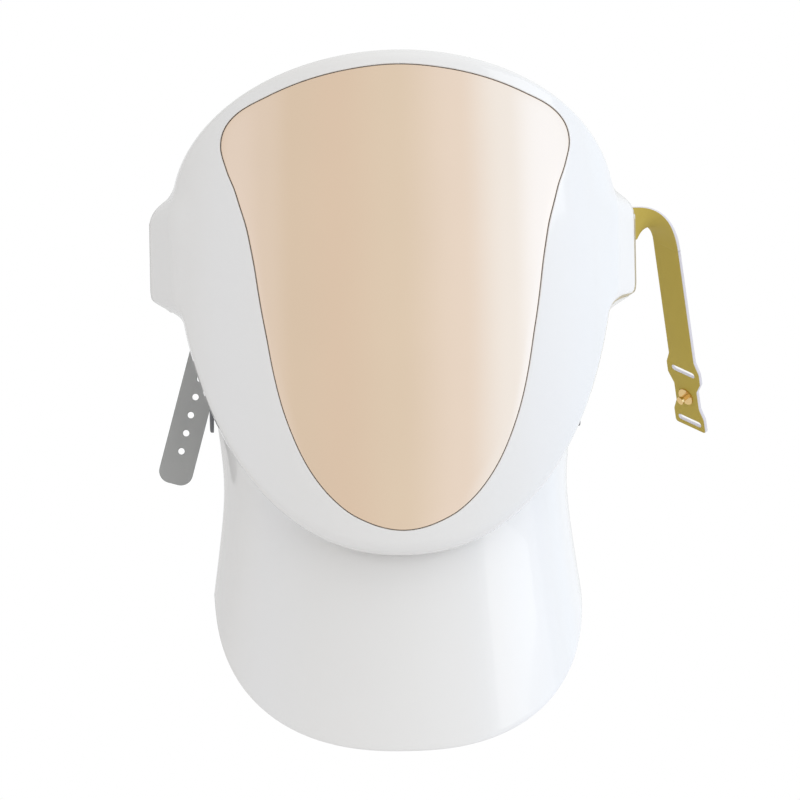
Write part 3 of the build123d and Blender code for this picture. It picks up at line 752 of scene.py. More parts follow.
class FaceShell(Piece):
    """The white moulding round the visor, with its rolled edge and strap bosses."""

    name = "face_shell_moulding"
    stands_for = ("face_shell",)
    boss_angles = (-34, 12)
    angle_steps = (74, 150, 104)
    floor_width = 4.0
    lip = 0.7
    lip_steps = 5
    front_steps = 14
    slope_step = 0.05
    rim_clearance = 0.02
    roll_steps = 14
    wall_steps = 8
    rim_round = 0.8
    round_steps = 4
    inner_wall = 5.0

    def angles(self) -> list[float]:
        """Directions of the cross-sections, closer together across the bosses.

        Returns:
            The directions all round, in degrees.
        """
        low, high = self.boss_angles
        below, across, above = self.angle_steps
        half = arc(-90, low, below)[:-1] + arc(low, high, across)[:-1] + arc(high, 90, above)
        return half + [180 - angle for angle in reversed(half[1:-1])]

    def swollen(self, loop: Ring, last_wall: int) -> Ring:
        """A cross-section with the boss drawn out of it.

        Args:
            loop: The plain cross-section.
            last_wall: Index of its last point before the rear edge's rounding.

        Returns:
            The new points.
        """
        made = []
        outer = loop[last_wall]
        for i, point in enumerate(loop):
            side, weight = abs(point.x), BOSS.weight(point.z)
            if side <= BOSS.root or weight == 0 or i == len(loop) - 1:
                made.append(point)
                continue
            if i <= last_wall:
                start = FACE.pushed(BOSS.root, point.z).y
                share = (point.y - start) / (outer.y - start)
                goal = BOSS.section(clamped(share), start)
            elif i == len(loop) - 2:
                goal = (BOSS.inner, -BOSS.back_depth)
            else:
                goal = (BOSS.side - (abs(outer.x) - side), -BOSS.back_depth + point.y - outer.y)
            sign = math.copysign(1, point.x)
            made.append(Vector((point.x + (goal[0] * sign - point.x) * weight,
                                point.y + (goal[1] - point.y) * weight, point.z)))
        return made

    def profile(self, angle: float) -> Ring:
        """Cross-section from the visor's recess over the rolled edge to the inner wall.

        Args:
            angle: Direction about the widest height, in degrees.

        Returns:
            Its points, as a loop.
        """
        inner, outer = FACE.visor(angle), FACE.outline(angle)
        roll = min(FACE.roll, outer - inner - self.lip)

        def front(radius: float, depth: float = 0.0) -> Vector:
            """Point of the front surface at a radius, with a depth taken off."""
            side, height = FACE.polar(radius, angle)
            return FACE.within(side, height, depth)

        def roll_centre(radius: float) -> Flat:
            """Radius and Y of the rolled edge's centre, if it leaves the front at a radius.

            Args:
                radius: The radius.

            Returns:
                Its radius and Y.
            """
            step = self.slope_step
            slope = (front(radius + step).y - front(radius - step).y) / (step * 2)
            size = math.hypot(slope, 1)
            return radius - roll * slope / size, front(radius).y + roll / size

        def too_far(radius: float) -> bool:
            """Whether a rolled edge that leaves the front at a radius passes the outline."""
            return roll_centre(radius)[0] > outer - roll

        tangent = halved(inner + self.lip, outer - self.rim_clearance, too_far)[0]
        centre = roll_centre(tangent)
        rim = FACE.pushed(*FACE.polar(outer, angle), FACE.rim_depth).y
        loop = [front(inner - self.floor_width, FACE.floor_depth), front(inner, FACE.floor_depth)]
        loop += [front(inner + self.lip * (1 - math.cos(t)), self.lip * (1 - math.sin(t)))
                 for t in arc(0, QUARTER, self.lip_steps)]
        loop += [front(inner + self.lip + (tangent - inner - self.lip) * share)
                 for share in arc(0, 1, self.front_steps)[1:]]
        begin = math.atan2(front(tangent).y - centre[1], tangent - centre[0])
        edge = curved(centre, roll, begin, 0, self.roll_steps)[1:]
        wall_top = edge[-1][1]
        edge += [(outer, wall_top + (rim - self.rim_round - wall_top) * share)
                 for share in arc(0, 1, self.wall_steps)[1:]]
        last_wall = len(loop) + len(edge) - 1
        edge += [(outer - self.rim_round * (1 - math.cos(t)), rim - self.rim_round * (1 - math.sin(t)))
                 for t in arc(0, QUARTER, self.round_steps)[1:]]
        edge += [(outer - FACE.wall, rim), (outer - FACE.wall, rim - self.inner_wall)]
        for radius, depth in edge:
            side, height = FACE.polar(radius, angle)
            loop.append(Vector((side, depth, height)))
        return self.swollen(loop, last_wall)

    def build(self, mesh: bmesh.types.BMesh) -> None:
        """Joins the cross-sections into one closed skin.

        Args:
            mesh: The mesh to fill.
        """
        rows = [self.profile(angle) for angle in self.angles()]
        Lattice(rows, close_rows=True, close_columns=True).add_to(mesh)


class MirrorVisor(Piece):
    """The champagne mirror in its recess."""

    name = "mirror_visor_panel"
    stands_for = ("mirror_visor",)
    slot = "visor_mirror"
    finishes = (Finishes.VISOR,)
    turns = 480
    gap = 0.3
    thickness = 2.0
    edge = 0.45
    edge_steps = 5
    front_shares = (0.02, 0.05, *arc(0.1, 0.9, 24))
    margin_shares = (0.5, 1.0)
    back_share = 0.5

    def spoke(self, angle: float) -> Ring:
        """Points from near the middle of the front over the edge to the back.

        Args:
            angle: Direction about the widest height, in degrees.

        Returns:
            The points.
        """
        reach, inner = FACE.visor(angle) - self.gap, self.front_shares[-1]

        def at(radius: float, depth: float) -> Vector:
            """Point at a radius, a depth behind the front."""
            side, height = FACE.polar(radius, angle)
            return FACE.within(side, height, depth)

        row = [at(reach * share, 0) for share in self.front_shares]
        row += [at(reach * inner + (reach * (1 - inner) - self.edge) * share, 0)
                for share in self.margin_shares]
        row += [at(reach - self.edge * (1 - math.sin(t)), self.edge * (1 - math.cos(t)))
                for t in arc(0, QUARTER, self.edge_steps)[1:]]
        return row + [at(reach, self.thickness), at(reach * self.back_share, self.thickness)]

    def build(self, mesh: bmesh.types.BMesh) -> None:
        """Joins the spokes and fills the middle of the front and of the back.

        Args:
            mesh: The mesh to fill.
        """
        rows = [self.spoke(angle) for angle in arc(0, 360, self.turns)[:-1]]
        Lattice(rows, close_columns=True).add_to(mesh)
        bmesh.ops.holes_fill(mesh, edges=mesh.edges, sides=0)
        for face in mesh.faces:
            face.smooth = True


class NeckShell(Piece):
    """The white barrel of the neck part with its round lower edge and its pivot arms."""

    name = "neck_shell_moulding"
    body = "neck"
    stands_for = ("neck_shell",)
    turns = 240
    wall_steps = 48
    edge = 0.8
    edge_steps = 4

    def build(self, mesh: bmesh.types.BMesh) -> None:
        """Joins upright loops round the wall, from one side of the neck to the other.

        Args:
            mesh: The mesh to fill.
        """
        rows = []
        rounding = arc(0, QUARTER, self.edge_steps)
        for turn in arc(-QUARTER, QUARTER, self.turns):
            low, high = NECK.lowest(turn), NECK.highest(turn, FACE)
            row = [NECK.point(turn, z, 0) for z in arc(low + self.edge, high - self.edge, self.wall_steps)]
            row += [NECK.point(turn, high - self.edge * (1 - math.sin(t)), self.edge * (1 - math.cos(t)))
                    for t in rounding[1:]]
            row += [NECK.point(turn, z, NECK.wall) for z in arc(high, low, self.wall_steps)]
            row += [NECK.point(turn, low + self.edge * (1 - math.cos(t)), self.edge * (1 - math.sin(t)))
                    for t in rounding[:-1]]
            rows.append(row)
        Lattice(rows, close_rows=True, cap_ends=True).add_to(mesh)


@dataclass(frozen=True)
class StrapPath:
    """Where a strap half runs: from its pin over a curve to a straight end."""

    side: float
    heading: Vector
    hang: Vector
    down: Vector
    across: Vector
    pull_share: float = 0.42
    width: float = 15.5
    thickness: float = 2.0
    sleeve: float = 2.6
    bore: float = 0.95
    height: float = 9.5
    fine_steps: int = 400

    def start(self) -> Vector:
        """Where the band leaves its moulded eye."""
        return Vector((self.side, 0, self.height)) + self.heading * (self.sleeve - self.thickness / 2)

    def frames(self, count: int) -> list[tuple[Vector, Vector, Vector]]:
        """Point, width direction and travel direction along the curve.

        Args:
            count: How many steps.

        Returns:
            count + 1 frames, evenly spaced.
        """
        first, last = self.start(), self.hang
        pull = (last - first).length * self.pull_share
        pulls = (first, first + self.heading * pull, last - self.down * pull, last)

        def at(t: float) -> Vector:
            """Point of the curve."""
            s = 1 - t
            return pulls[0] * s**3 + pulls[1] * 3 * s * s * t + pulls[2] * 3 * s * t * t + pulls[3] * t**3

        def ahead(t: float) -> Vector:
            """Direction of the curve.

            Args:
                t: Share of the curve, from 0 to 1.

            Returns:
                A unit vector.
            """
            s = 1 - t
            return ((pulls[1] - pulls[0]) * s * s + (pulls[2] - pulls[1]) * 2 * s * t
                    + (pulls[3] - pulls[2]) * t * t).normalized()

        fine = arc(0, 1, self.fine_steps)
        lengths = [0.0]
        for a, b in zip(fine, fine[1:]):
            lengths.append(lengths[-1] + (at(b) - at(a)).length)
        frames = []
        place = 0
        for share in arc(0, 1, count):
            goal = share * lengths[-1]
            while place < len(fine) - 2 and lengths[place + 1] < goal:
                place += 1
            span = lengths[place + 1] - lengths[place]
            t = min(1.0, fine[place] + fine[1] * (goal - lengths[place]) / span)
            turned = share * share * (3 - 2 * share)
            travel = ahead(t)
            width = Vector((0, 0, 1)) * (1 - turned) + self.across * turned
            width = (width - travel * width.dot(travel)).normalized()
            frames.append((at(t), width, travel))
        return frames

    def plane(self) -> Place:
        """The plane through the middle of the straight end, its second axis along the strap."""
        return Place(self.hang, self.across, self.across.cross(self.down).normalized())


class Strap(Piece):
    """A strap half: moulded eye, curved band and straight end."""

    path: StrapPath
    edge = 0.55
    edge_steps = 4
    band_steps = 36
    overlap = 0.4
    sleeve_edge = 0.5
    sleeve_bevel_share = 0.3
    sleeve_steps = 40
    facing_share = 0.6
    inner_slot = 0
    edge_slot = 1
    outer_slot = 1

    def flat(self) -> bpy.types.Mesh:
        """The straight end.

        Returns:
            The mesh, placed.
        """
        raise NotImplementedError

    def section(self, frame: tuple[Vector, Vector, Vector]) -> Ring:
        """Rounded cross-section of the band.

        Args:
            frame: Its centre, width direction and travel direction.

        Returns:
            The section's points.
        """
        centre, width, travel = frame
        depth = travel.cross(width)
        across, up = self.path.width / 2 - self.edge, self.path.thickness / 2 - self.edge
        ring = []
        for side, face, quarter in ((1, -1, -1), (1, 1, 0), (-1, 1, 1), (-1, -1, 2)):
            corner, start = (side * across, face * up), quarter * QUARTER
            ring += [centre + width * x + depth * y
                     for x, y in curved(corner, self.edge, start, start + QUARTER, self.edge_steps)]
        return ring

    def build(self, mesh: bmesh.types.BMesh) -> None:
        """Adds the band, its moulded eye and its straight end, and colours both sides.

        Args:
            mesh: The mesh to fill.
        """
        frames = self.path.frames(self.band_steps)
        last = frames[-1]
        frames.append((last[0] + last[2] * self.overlap, last[1], last[2]))
        Lattice([self.section(frame) for frame in frames], close_rows=True, cap_ends=True).add_to(mesh)
        self.add_sleeve(mesh)
        mesh.from_mesh(self.flat())
        bmesh.ops.recalc_face_normals(mesh, faces=mesh.faces)
        self.paint(mesh, frames)
        for face in mesh.faces:
            face.smooth = True

    def add_sleeve(self, mesh: bmesh.types.BMesh) -> None:
        """Adds the moulded eye round the pin.

        Args:
            mesh: The mesh to add to.
        """
        path, half, edge = self.path, self.path.width / 2, self.sleeve_edge
        bevel = edge * self.sleeve_bevel_share
        upper = [(path.sleeve, half - edge), (path.sleeve - bevel, half - bevel), (path.sleeve - edge, half),
                 (path.bore, half)]
        outline = [(radius, -height) for radius, height in reversed(upper)] + upper
        rows = [[Vector((path.side + radius * math.cos(turn), radius * math.sin(turn), path.height + height))
                 for radius, height in outline] for turn in arc(0, math.tau, self.sleeve_steps)[:-1]]
        Lattice(rows, close_rows=True, close_columns=True).add_to(mesh)

    def paint(self, mesh: bmesh.types.BMesh, frames: Sequence[tuple[Vector, Vector, Vector]]) -> None:
        """Gives faces their slots by the side of the strap that they lie on.

        Args:
            mesh: The strap's mesh.
            frames: The band's frames.
        """
        mesh.normal_update()
        for face in mesh.faces:
            centre = face.calc_center_median() / MM
            near = min(frames, key=lambda frame: (frame[0] - centre).length_squared)
            if (centre - self.path.hang).dot(self.path.down) > 0:
                inner = -self.path.plane().normal
            else:
                inner = near[2].cross(near[1])
            lean = face.normal.dot(inner)
            face.material_index = self.edge_slot
            if abs(lean) > self.facing_share:
                face.material_index = self.inner_slot if lean > 0 else self.outer_slot


def vector(*parts: float) -> Vector:
    """A unit vector from three shares."""
    return Vector(parts).normalized()


def left_path() -> StrapPath:
    """The left strap half's path, whose straight end faces the front.

    Returns:
        The path.
    """
    pin, hang_side, turn_back = -104.0, -79.8, 40.0
    lean = math.radians(-15.6)
    down = vector(math.sin(lean), 0, -math.cos(lean))
    return StrapPath(pin, vector(hang_side - pin, turn_back, 0), Vector((hang_side, 20.0, -28.4)), down,
                     vector(-down.z, 0, down.x))


def right_path() -> StrapPath:
    """The right strap half's path, whose straight end leans back and is turned aside.

    Returns:
        The path.
    """
    pin, hang_side, turn_back = 104.0, 126.6, 38.0
    lean_out, lean_back = math.radians(8.7), math.radians(37.3)
    turn_aside, dip = math.radians(38.9), math.radians(23.2)
    down = vector(math.tan(lean_out), math.tan(lean_back), -1)
    across = Vector((math.cos(turn_aside), -math.sin(turn_aside), -math.tan(dip)))
    across = (across - down * across.dot(down)).normalized()
    return StrapPath(pin, vector(hang_side - pin, turn_back, 0), Vector((hang_side, turn_back, 0.0)), down,
                     across)


class LeftStrap(Strap):
    """The strap half with the row of holes, its pale silicone painted grey and its edges painted dark as
    shade.
    """

    name = "strap_with_holes"
    body = "strap_left"
    stands_for = ("strap_left_band",)
    slot = "strap_grey"
    finishes = (Finishes.STRAP_PAINTED_SHADE_GREY, Finishes.STRAP_EDGE_PAINTED_SHADE)
    path = left_path()
    # Painted shade: the outer face takes the same grey painted-shade finish as the inner face.
    outer_slot = 0
    length = 79.0
    end_radius = 5.5
    end_margin = 15.3
    pitch = 8.5
    holes = 7
    hole_radius = 1.5

    def flat(self) -> bpy.types.Mesh:
        """The straight end with its rounded tip and its row of holes.

        Returns:
            The mesh, placed.
        """
        half = self.path.width / 2
        outline = rounded([(-half, 0), (half, 0), (half, self.length), (-half, self.length)],
                          (0, 0, self.end_radius, self.end_radius))
        marks = [self.length - self.end_margin - self.pitch * i for i in range(self.holes)]
        holes = [circle((0, mark), self.hole_radius) for mark in marks]
        return cutout(outline, holes, self.path.plane(), self.path.thickness, self.edge)


class RightStrap(Strap):
    """The two-tone strap half with the two-slot buckle end."""

    name = "strap_with_buckle"
    body = "strap_right"
    stands_for = ("strap_right_band",)
    slot = "strap_gold"
    finishes = (Finishes.STRAP_GOLD, Finishes.STRAP_PALE)
    path = right_path()
    hang_length = 69.0
    buckle_length = 36.4
    wide = 10.0
    narrow = 7.0
    tip = 9.2
    slot_length = 13.6
    slot_width = 2.6
    margin = 2.6
    flare_share = 0.25
    waist_share = 1.7
    corner = 1.6
    post = 1.35

    def flat(self) -> bpy.types.Mesh:
        """The straight end with its two-slot buckle and the stud's hole.

        Returns:
            The mesh, placed.
        """
        half, start = self.path.width / 2, self.hang_length
        end, drop = start + self.buckle_length, self.slot_width + self.margin * 2
        right = [(half, 0), (half, start - drop / 2), (self.wide, start + drop * self.flare_share),
                 (self.wide, start + drop), (self.narrow, start + drop * self.waist_share),
                 (self.narrow, end - drop * self.waist_share), (self.tip, end - drop), (self.tip, end)]
        outline = right + [(-x, y) for x, y in reversed(right)]
        radii = [0.0] + [self.corner] * (len(outline) - 2) + [0.0]
        inset = self.margin + self.slot_width / 2
        marks = (start + inset, end - inset)
        holes = [slot_outline((0, mark), self.slot_length, self.slot_width) for mark in marks]
        holes.append(circle((0, sum(marks) / 2), self.post))
        return cutout(rounded(outline, radii), holes, self.path.plane(), self.path.thickness, self.edge)


class SoftPiece(Piece):
    """A silicone piece that sits on the face liner."""

    slot = "silicone_white"
    finishes = (Finishes.SILICONE,)
    fill = 0.8
    front = 19.8
    section_power = 0.7
    section_steps = 20

    def section(self) -> list[Flat]:
        """Shares across and up, from 0 to 1, round its soft cross-section.

        Returns:
            The shares; a power of 1 gives an ellipse and less a squarer shape.
        """

        def share(value: float) -> float:
            """Share from 0 to 1 for a value from -1 to 1."""
            return (1 + math.copysign(abs(value) ** self.section_power, value)) / 2

        return [(share(x), share(y)) for x, y in circle((0, 0), 1, self.section_steps)]


class RingPad(SoftPiece):
    """A rounded oval ring of silicone."""

    side = 0.0
    height = 0.0
    half_width = 10.0
    half_height = 10.0
    band = 6.0
    thickness = 6.0
    sweep = (0.0, 360.0)
    steps = 96

    def build(self, mesh: bmesh.types.BMesh) -> None:
        """Sweeps the soft cross-section round the oval, or round part of it.

        Args:
            mesh: The mesh to fill.
        """
        closed = self.sweep[1] - self.sweep[0] >= 360
        angles = arc(*self.sweep, self.steps)
        if closed:
            angles = angles[:-1]
        rows = []
        for angle in angles:
            turn = math.radians(angle)
            row = []
            for out, lift in self.section():
                side = self.side + (self.half_width + self.band * out) * math.cos(turn)
                height = self.height + (self.half_height + self.band * out) * math.sin(turn)
                row.append(FACE.pushed(side, height, self.front + self.thickness * lift))
            rows.append(row)
        Lattice(rows, close_rows=True, close_columns=closed, cap_ends=not closed).add_to(mesh)


class EyeCushionRight(RingPad):
    """The cushion round the eye on the +X side."""

    name = "eye_cushion_right_pad"
    stands_for = ("eye_cushion_right",)
    side, height, half_width, half_height = 32.0, 10.0, 20.0, 14.0


class EyeCushionLeft(EyeCushionRight):
    """The cushion round the eye on the -X side."""

    name = "eye_cushion_left_pad"
    stands_for = ("eye_cushion_left",)
    side = -32.0


class NoseRest(RingPad):
    """The open ring that rests on the sides of the nose."""

    name = "nose_rest_pad"
    stands_for = ("nose_rest",)
    height, half_width, half_height, band = -16.0, 12.0, 20.0, 5.0
    sweep = (-202.0, 22.0)
    steps = 64


class BlockPad(SoftPiece):
    """A crowned silicone pad."""

    height = 0.0
    half_width = 20.0
    half_height = 8.0
    thickness = 6.0
    outline_power = 3.2
    steps = 64
    rings = 10
    foot_shares = (0.3, 0.7, 0.94)
    skirt_share = 0.12
    crown_share = 0.6
    crown_power = 0.6
    crown_arc_share = 0.93
    top_shares = (0.4, 0.15)

    def levels(self) -> list[Flat]:
        """Shares of the thickness and of the outline, from the foot over the crown to the top.

        Returns:
            The shares.
        """
        skirt, crown = self.skirt_share, self.crown_share
        made = [(0.0, share) for share in self.foot_shares]
        made += [(skirt + (1 - skirt) * math.sin(t), crown + (1 - crown) * math.cos(t) ** self.crown_power)
                 for t in arc(0, QUARTER * self.crown_arc_share, self.rings)]
        return made + [(1.0, share) for share in self.top_shares]

    def build(self, mesh: bmesh.types.BMesh) -> None:
        """Joins rings of the outline, one at each level.

        Args:
            mesh: The mesh to fill.
        """
        rows = []
        for lift, share in self.levels():
            row = []
            for angle in arc(0, 360, self.steps)[:-1]:
                turn = math.radians(angle)
                reach = share * superellipse_radius(angle, self.half_width, self.half_height,
                                                    self.outline_power)
                side, height = reach * math.cos(turn), self.height + reach * math.sin(turn)
                row.append(FACE.pushed(side, height, self.front + self.thickness * lift))
            rows.append(row)
        Lattice(rows, close_rows=True, cap_ends=True).add_to(mesh)


class ForeheadPad(BlockPad):
    """The pad above the eyes."""

    name = "forehead_rest_pad"
    stands_for = ("forehead_pad",)
    height, half_width, half_height = 52.0, 36.0, 8.0


class ChinPad(BlockPad):
    """The pad under the mouth."""

    name = "chin_rest_pad"
    stands_for = ("chin_pad",)
    height, half_width, half_height = -98.0, 20.0, 7.0


class EdgeSeal(SoftPiece):
    """The soft silicone lip round the liner's edge, narrower where the neck's pivots pass."""

    name = "edge_seal_lip"
    stands_for = ("edge_seal",)
    section_power = 0.6
    inset = 2.75
    band = 4.9
    relief = 1.0
    relief_reach = 12.0
    depth = 4.0
    turns = 300

    def build(self, mesh: bmesh.types.BMesh) -> None:
        """Sweeps the soft cross-section round the inside of the shell's rim.

        Args:
            mesh: The mesh to fill.
        """
        rows = []
        for angle in arc(0, 360, self.turns)[:-1]:
            outer = FACE.outline(angle) - self.inset
            height = FACE.polar(outer, angle)[1]
            near = max(0.0, 1 - abs(height - NECK.pivot_height) / self.relief_reach)
            band = self.band - self.relief * near
            row = []
            for out, lift in self.section():
                side, height = FACE.polar(outer - band * (1 - out), angle)
                row.append(FACE.pushed(side, height, self.front + self.depth * lift))
            rows.append(row)
        Lattice(rows, close_rows=True, close_columns=True).add_to(mesh)


def island_centres(data: bpy.types.Mesh) -> list[Vector]:
    """Centres of a mesh's separate solids.

    Args:
        data: The mesh.

    Returns:
        One centre for each solid, in metres.
    """
    mesh = bmesh.new()
    mesh.from_mesh(data)
    bmesh.ops.remove_doubles(mesh, verts=mesh.verts, dist=WELD_REACH)
    seen: set[int] = set()
    centres = []
    for start in mesh.verts:
        if start.index in seen:
            continue
        seen.add(start.index)
        island, edge_of = [start], [start]
        while edge_of:
            for edge in edge_of.pop().link_edges:
                for vert in edge.verts:
                    if vert.index not in seen:
                        seen.add(vert.index)
                        island.append(vert)
                        edge_of.append(vert)
        centres.append(sum((vert.co for vert in island), Vector()) / len(island))
    mesh.free()
    return centres


LENS_SEGMENTS = 20
LENS_RINGS = 8
FACE_LINER_BACK = 19.5
NECK_LINER_DEPTH = 11.0


def scatter_group() -> bpy.types.NodeTree:
    """The Geometry Nodes group that sets a small lens on every point, turned to its facing.

    Returns:
        The group, made once.
    """
    group = bpy.data.node_groups.get("lens_scatter")
    if group:
        return group
    group = bpy.data.node_groups.new("lens_scatter", "GeometryNodeTree")
    add_sockets(group, "INPUT", {"Geometry": "Geometry", "Radius": "Float", "Flatness": "Vector",
                                 "Material": "Material"})
    add_sockets(group, "OUTPUT", {"Geometry": "Geometry"})
    nodes = group.nodes
    source, sink = nodes.new("NodeGroupInput"), nodes.new("NodeGroupOutput")
    points, lens = nodes.new("GeometryNodeMeshToPoints"), nodes.new("GeometryNodeMeshUVSphere")
    facing = nodes.new("GeometryNodeInputNamedAttribute")
    turn = nodes.new("FunctionNodeAlignRotationToVector")
    spread, real = nodes.new("GeometryNodeInstanceOnPoints"), nodes.new("GeometryNodeRealizeInstances")
    smooth, paint = nodes.new("GeometryNodeSetShadeSmooth"), nodes.new("GeometryNodeSetMaterial")
    lens.inputs["Segments"].default_value = LENS_SEGMENTS
    lens.inputs["Rings"].default_value = LENS_RINGS
    facing.data_type = "FLOAT_VECTOR"
    facing.inputs["Name"].default_value = "facing"
    turn.axis = "Z"
    wire(group, (source, "Geometry", points, "Mesh"), (source, "Radius", lens, "Radius"),
         (facing, "Attribute", turn, "Vector"), (points, "Points", spread, "Points"),
         (lens, "Mesh", spread, "Instance"), (turn, "Rotation", spread, "Rotation"),
         (source, "Flatness", spread, "Scale"), (spread, "Instances", real, "Geometry"),
         (real, "Geometry", smooth, "Geometry"), (smooth, "Geometry", paint, "Geometry"),
         (source, "Material", paint, "Material"), (paint, "Geometry", sink, "Geometry"))
    return group


@dataclass(frozen=True)
class LensField:
    """The shallow lenses that a liner has in front of its diodes."""

    name: str
    body: str
    diodes: str
    seat: Callable[[float, float], tuple[Vector, Vector]]
    radius: float = 2.3
    rise: float = 0.22

    def make(self, frame: dict) -> bpy.types.Object:
        """Builds the lenses from the diodes' places.

        Args:
            frame: The loaded frame.

        Returns:
            The finished object.
        """
        seats = [self.seat(centre.x / MM, centre.z / MM)
                 for centre in island_centres(frame["nodes"][self.diodes].data)]
        carrier = bpy.data.meshes.new(f"{self.name}_points")
        carrier.from_pydata([point * MM for point, _ in seats], [], [])
        facing = carrier.attributes.new("facing", "FLOAT_VECTOR", "POINT")
        for entry, (_, normal) in zip(facing.data, seats):
            entry.vector = normal
        made = bpy.data.objects.new(self.name, carrier)
        bpy.context.scene.collection.objects.link(made)
        modifier = made.modifiers.new("lenses", "NODES")
        modifier.node_group = scatter_group()
        values = {"Radius": self.radius * MM, "Flatness": (1.0, 1.0, self.rise / self.radius),
                  "Material": material(Finishes.LENS)}
        for item in modifier.node_group.interface.items_tree:
            if item.in_out == "INPUT" and item.name in values:
                modifier[item.identifier] = values[item.name]
        bpy.context.view_layer.update()
        shape = bpy.data.meshes.new_from_object(made.evaluated_get(bpy.context.evaluated_depsgraph_get()))
        made.modifiers.clear()
        made.data = shape
        bpy.data.meshes.remove(carrier)
        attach(made, self.body)
        return made


def face_seat(side: float, height: float) -> tuple[Vector, Vector]:
    """Seat of a lens on the face liner.

    Args:
        side: Its place across, in millimetres.
        height: Its height, in millimetres.

    Returns:
        Its place and the direction that it faces.
    """
    point = FACE.pushed(side, height, FACE_LINER_BACK)
    inward = Vector((-side, FACE_LINER_BACK - point.y, 0)) / FACE.reach(height)
    rise = (height - FACE.fullest_height) / FACE.bow
    return point, (inward + Vector((0, 0, -rise))).normalized()


def neck_seat(side: float, height: float) -> tuple[Vector, Vector]:
    """Seat of a lens on the neck liner.

    Args:
        side: Its place across, in millimetres.
        height: Its height, in millimetres.

    Returns:
        Its place and the direction that it faces.
    """
    turn = math.asin(side / (NECK.reach(height) - NECK_LINER_DEPTH))
    point = NECK.point(turn, height, NECK_LINER_DEPTH)
    rise = height - NECK.waist_height
    slope = NECK.flare * rise / math.hypot(rise, NECK.bend)
    return point, Vector((-math.sin(turn), math.cos(turn), slope)).normalized()


LENSES = (
    LensField("face_liner_lenses", "mask", "face_leds", face_seat),
    LensField("neck_liner_lenses", "neck", "neck_leds", neck_seat),
)


# The studio

@dataclass(frozen=True)
class SoftBox:
    """One rectangular lamp of the studio, in metres and watts."""

    name: str
    place: Point
    aim: Point
    size: Flat
    power: float
    diffuse: float = 1.0
    only: tuple[str, ...] = ()
    spared: tuple[str, ...] = ()

    def build(self) -> None:
        """Adds the lamp, linked to the only pieces that it lights or to those that it spares."""
        data = bpy.data.lights.new(self.name, "AREA")
        data.shape = "RECTANGLE"
        data.size, data.size_y = self.size
        data.energy = self.power
        data.diffuse_factor = self.diffuse
        lamp = bpy.data.objects.new(self.name, data)
        lamp.location = self.place
        lamp.rotation_euler = (Vector(self.aim) - Vector(self.place)).to_track_quat("-Z", "Y").to_euler()
        bpy.context.scene.collection.objects.link(lamp)
        group = bpy.data.collections.new(f"{self.name}_pieces")
        for piece in (*self.only, *self.spared):
            group.objects.link(bpy.data.objects[piece])
        for entry in group.collection_objects:
            entry.light_linking.link_state = "EXCLUDE" if self.spared else "INCLUDE"
        lamp.light_linking.receiver_collection = group


SOFT_BOXES = (
    SoftBox("right_box", (1.9, -0.5, 0.7), (0, 0, -0.1), (1.4, 1.0), 3.7, spared=(MirrorVisor.name,)),
    SoftBox("top_box", (0.0, -0.4, 2.0), (0, 0, -0.05), (1.6, 1.2), 0.5, spared=(MirrorVisor.name,)),
    SoftBox("window", (0.966, -0.245, 0.04), (0, 0.01, -0.18), (0.93, 0.34), 0.3, diffuse=0.1,
            only=(NeckShell.name,)),
)


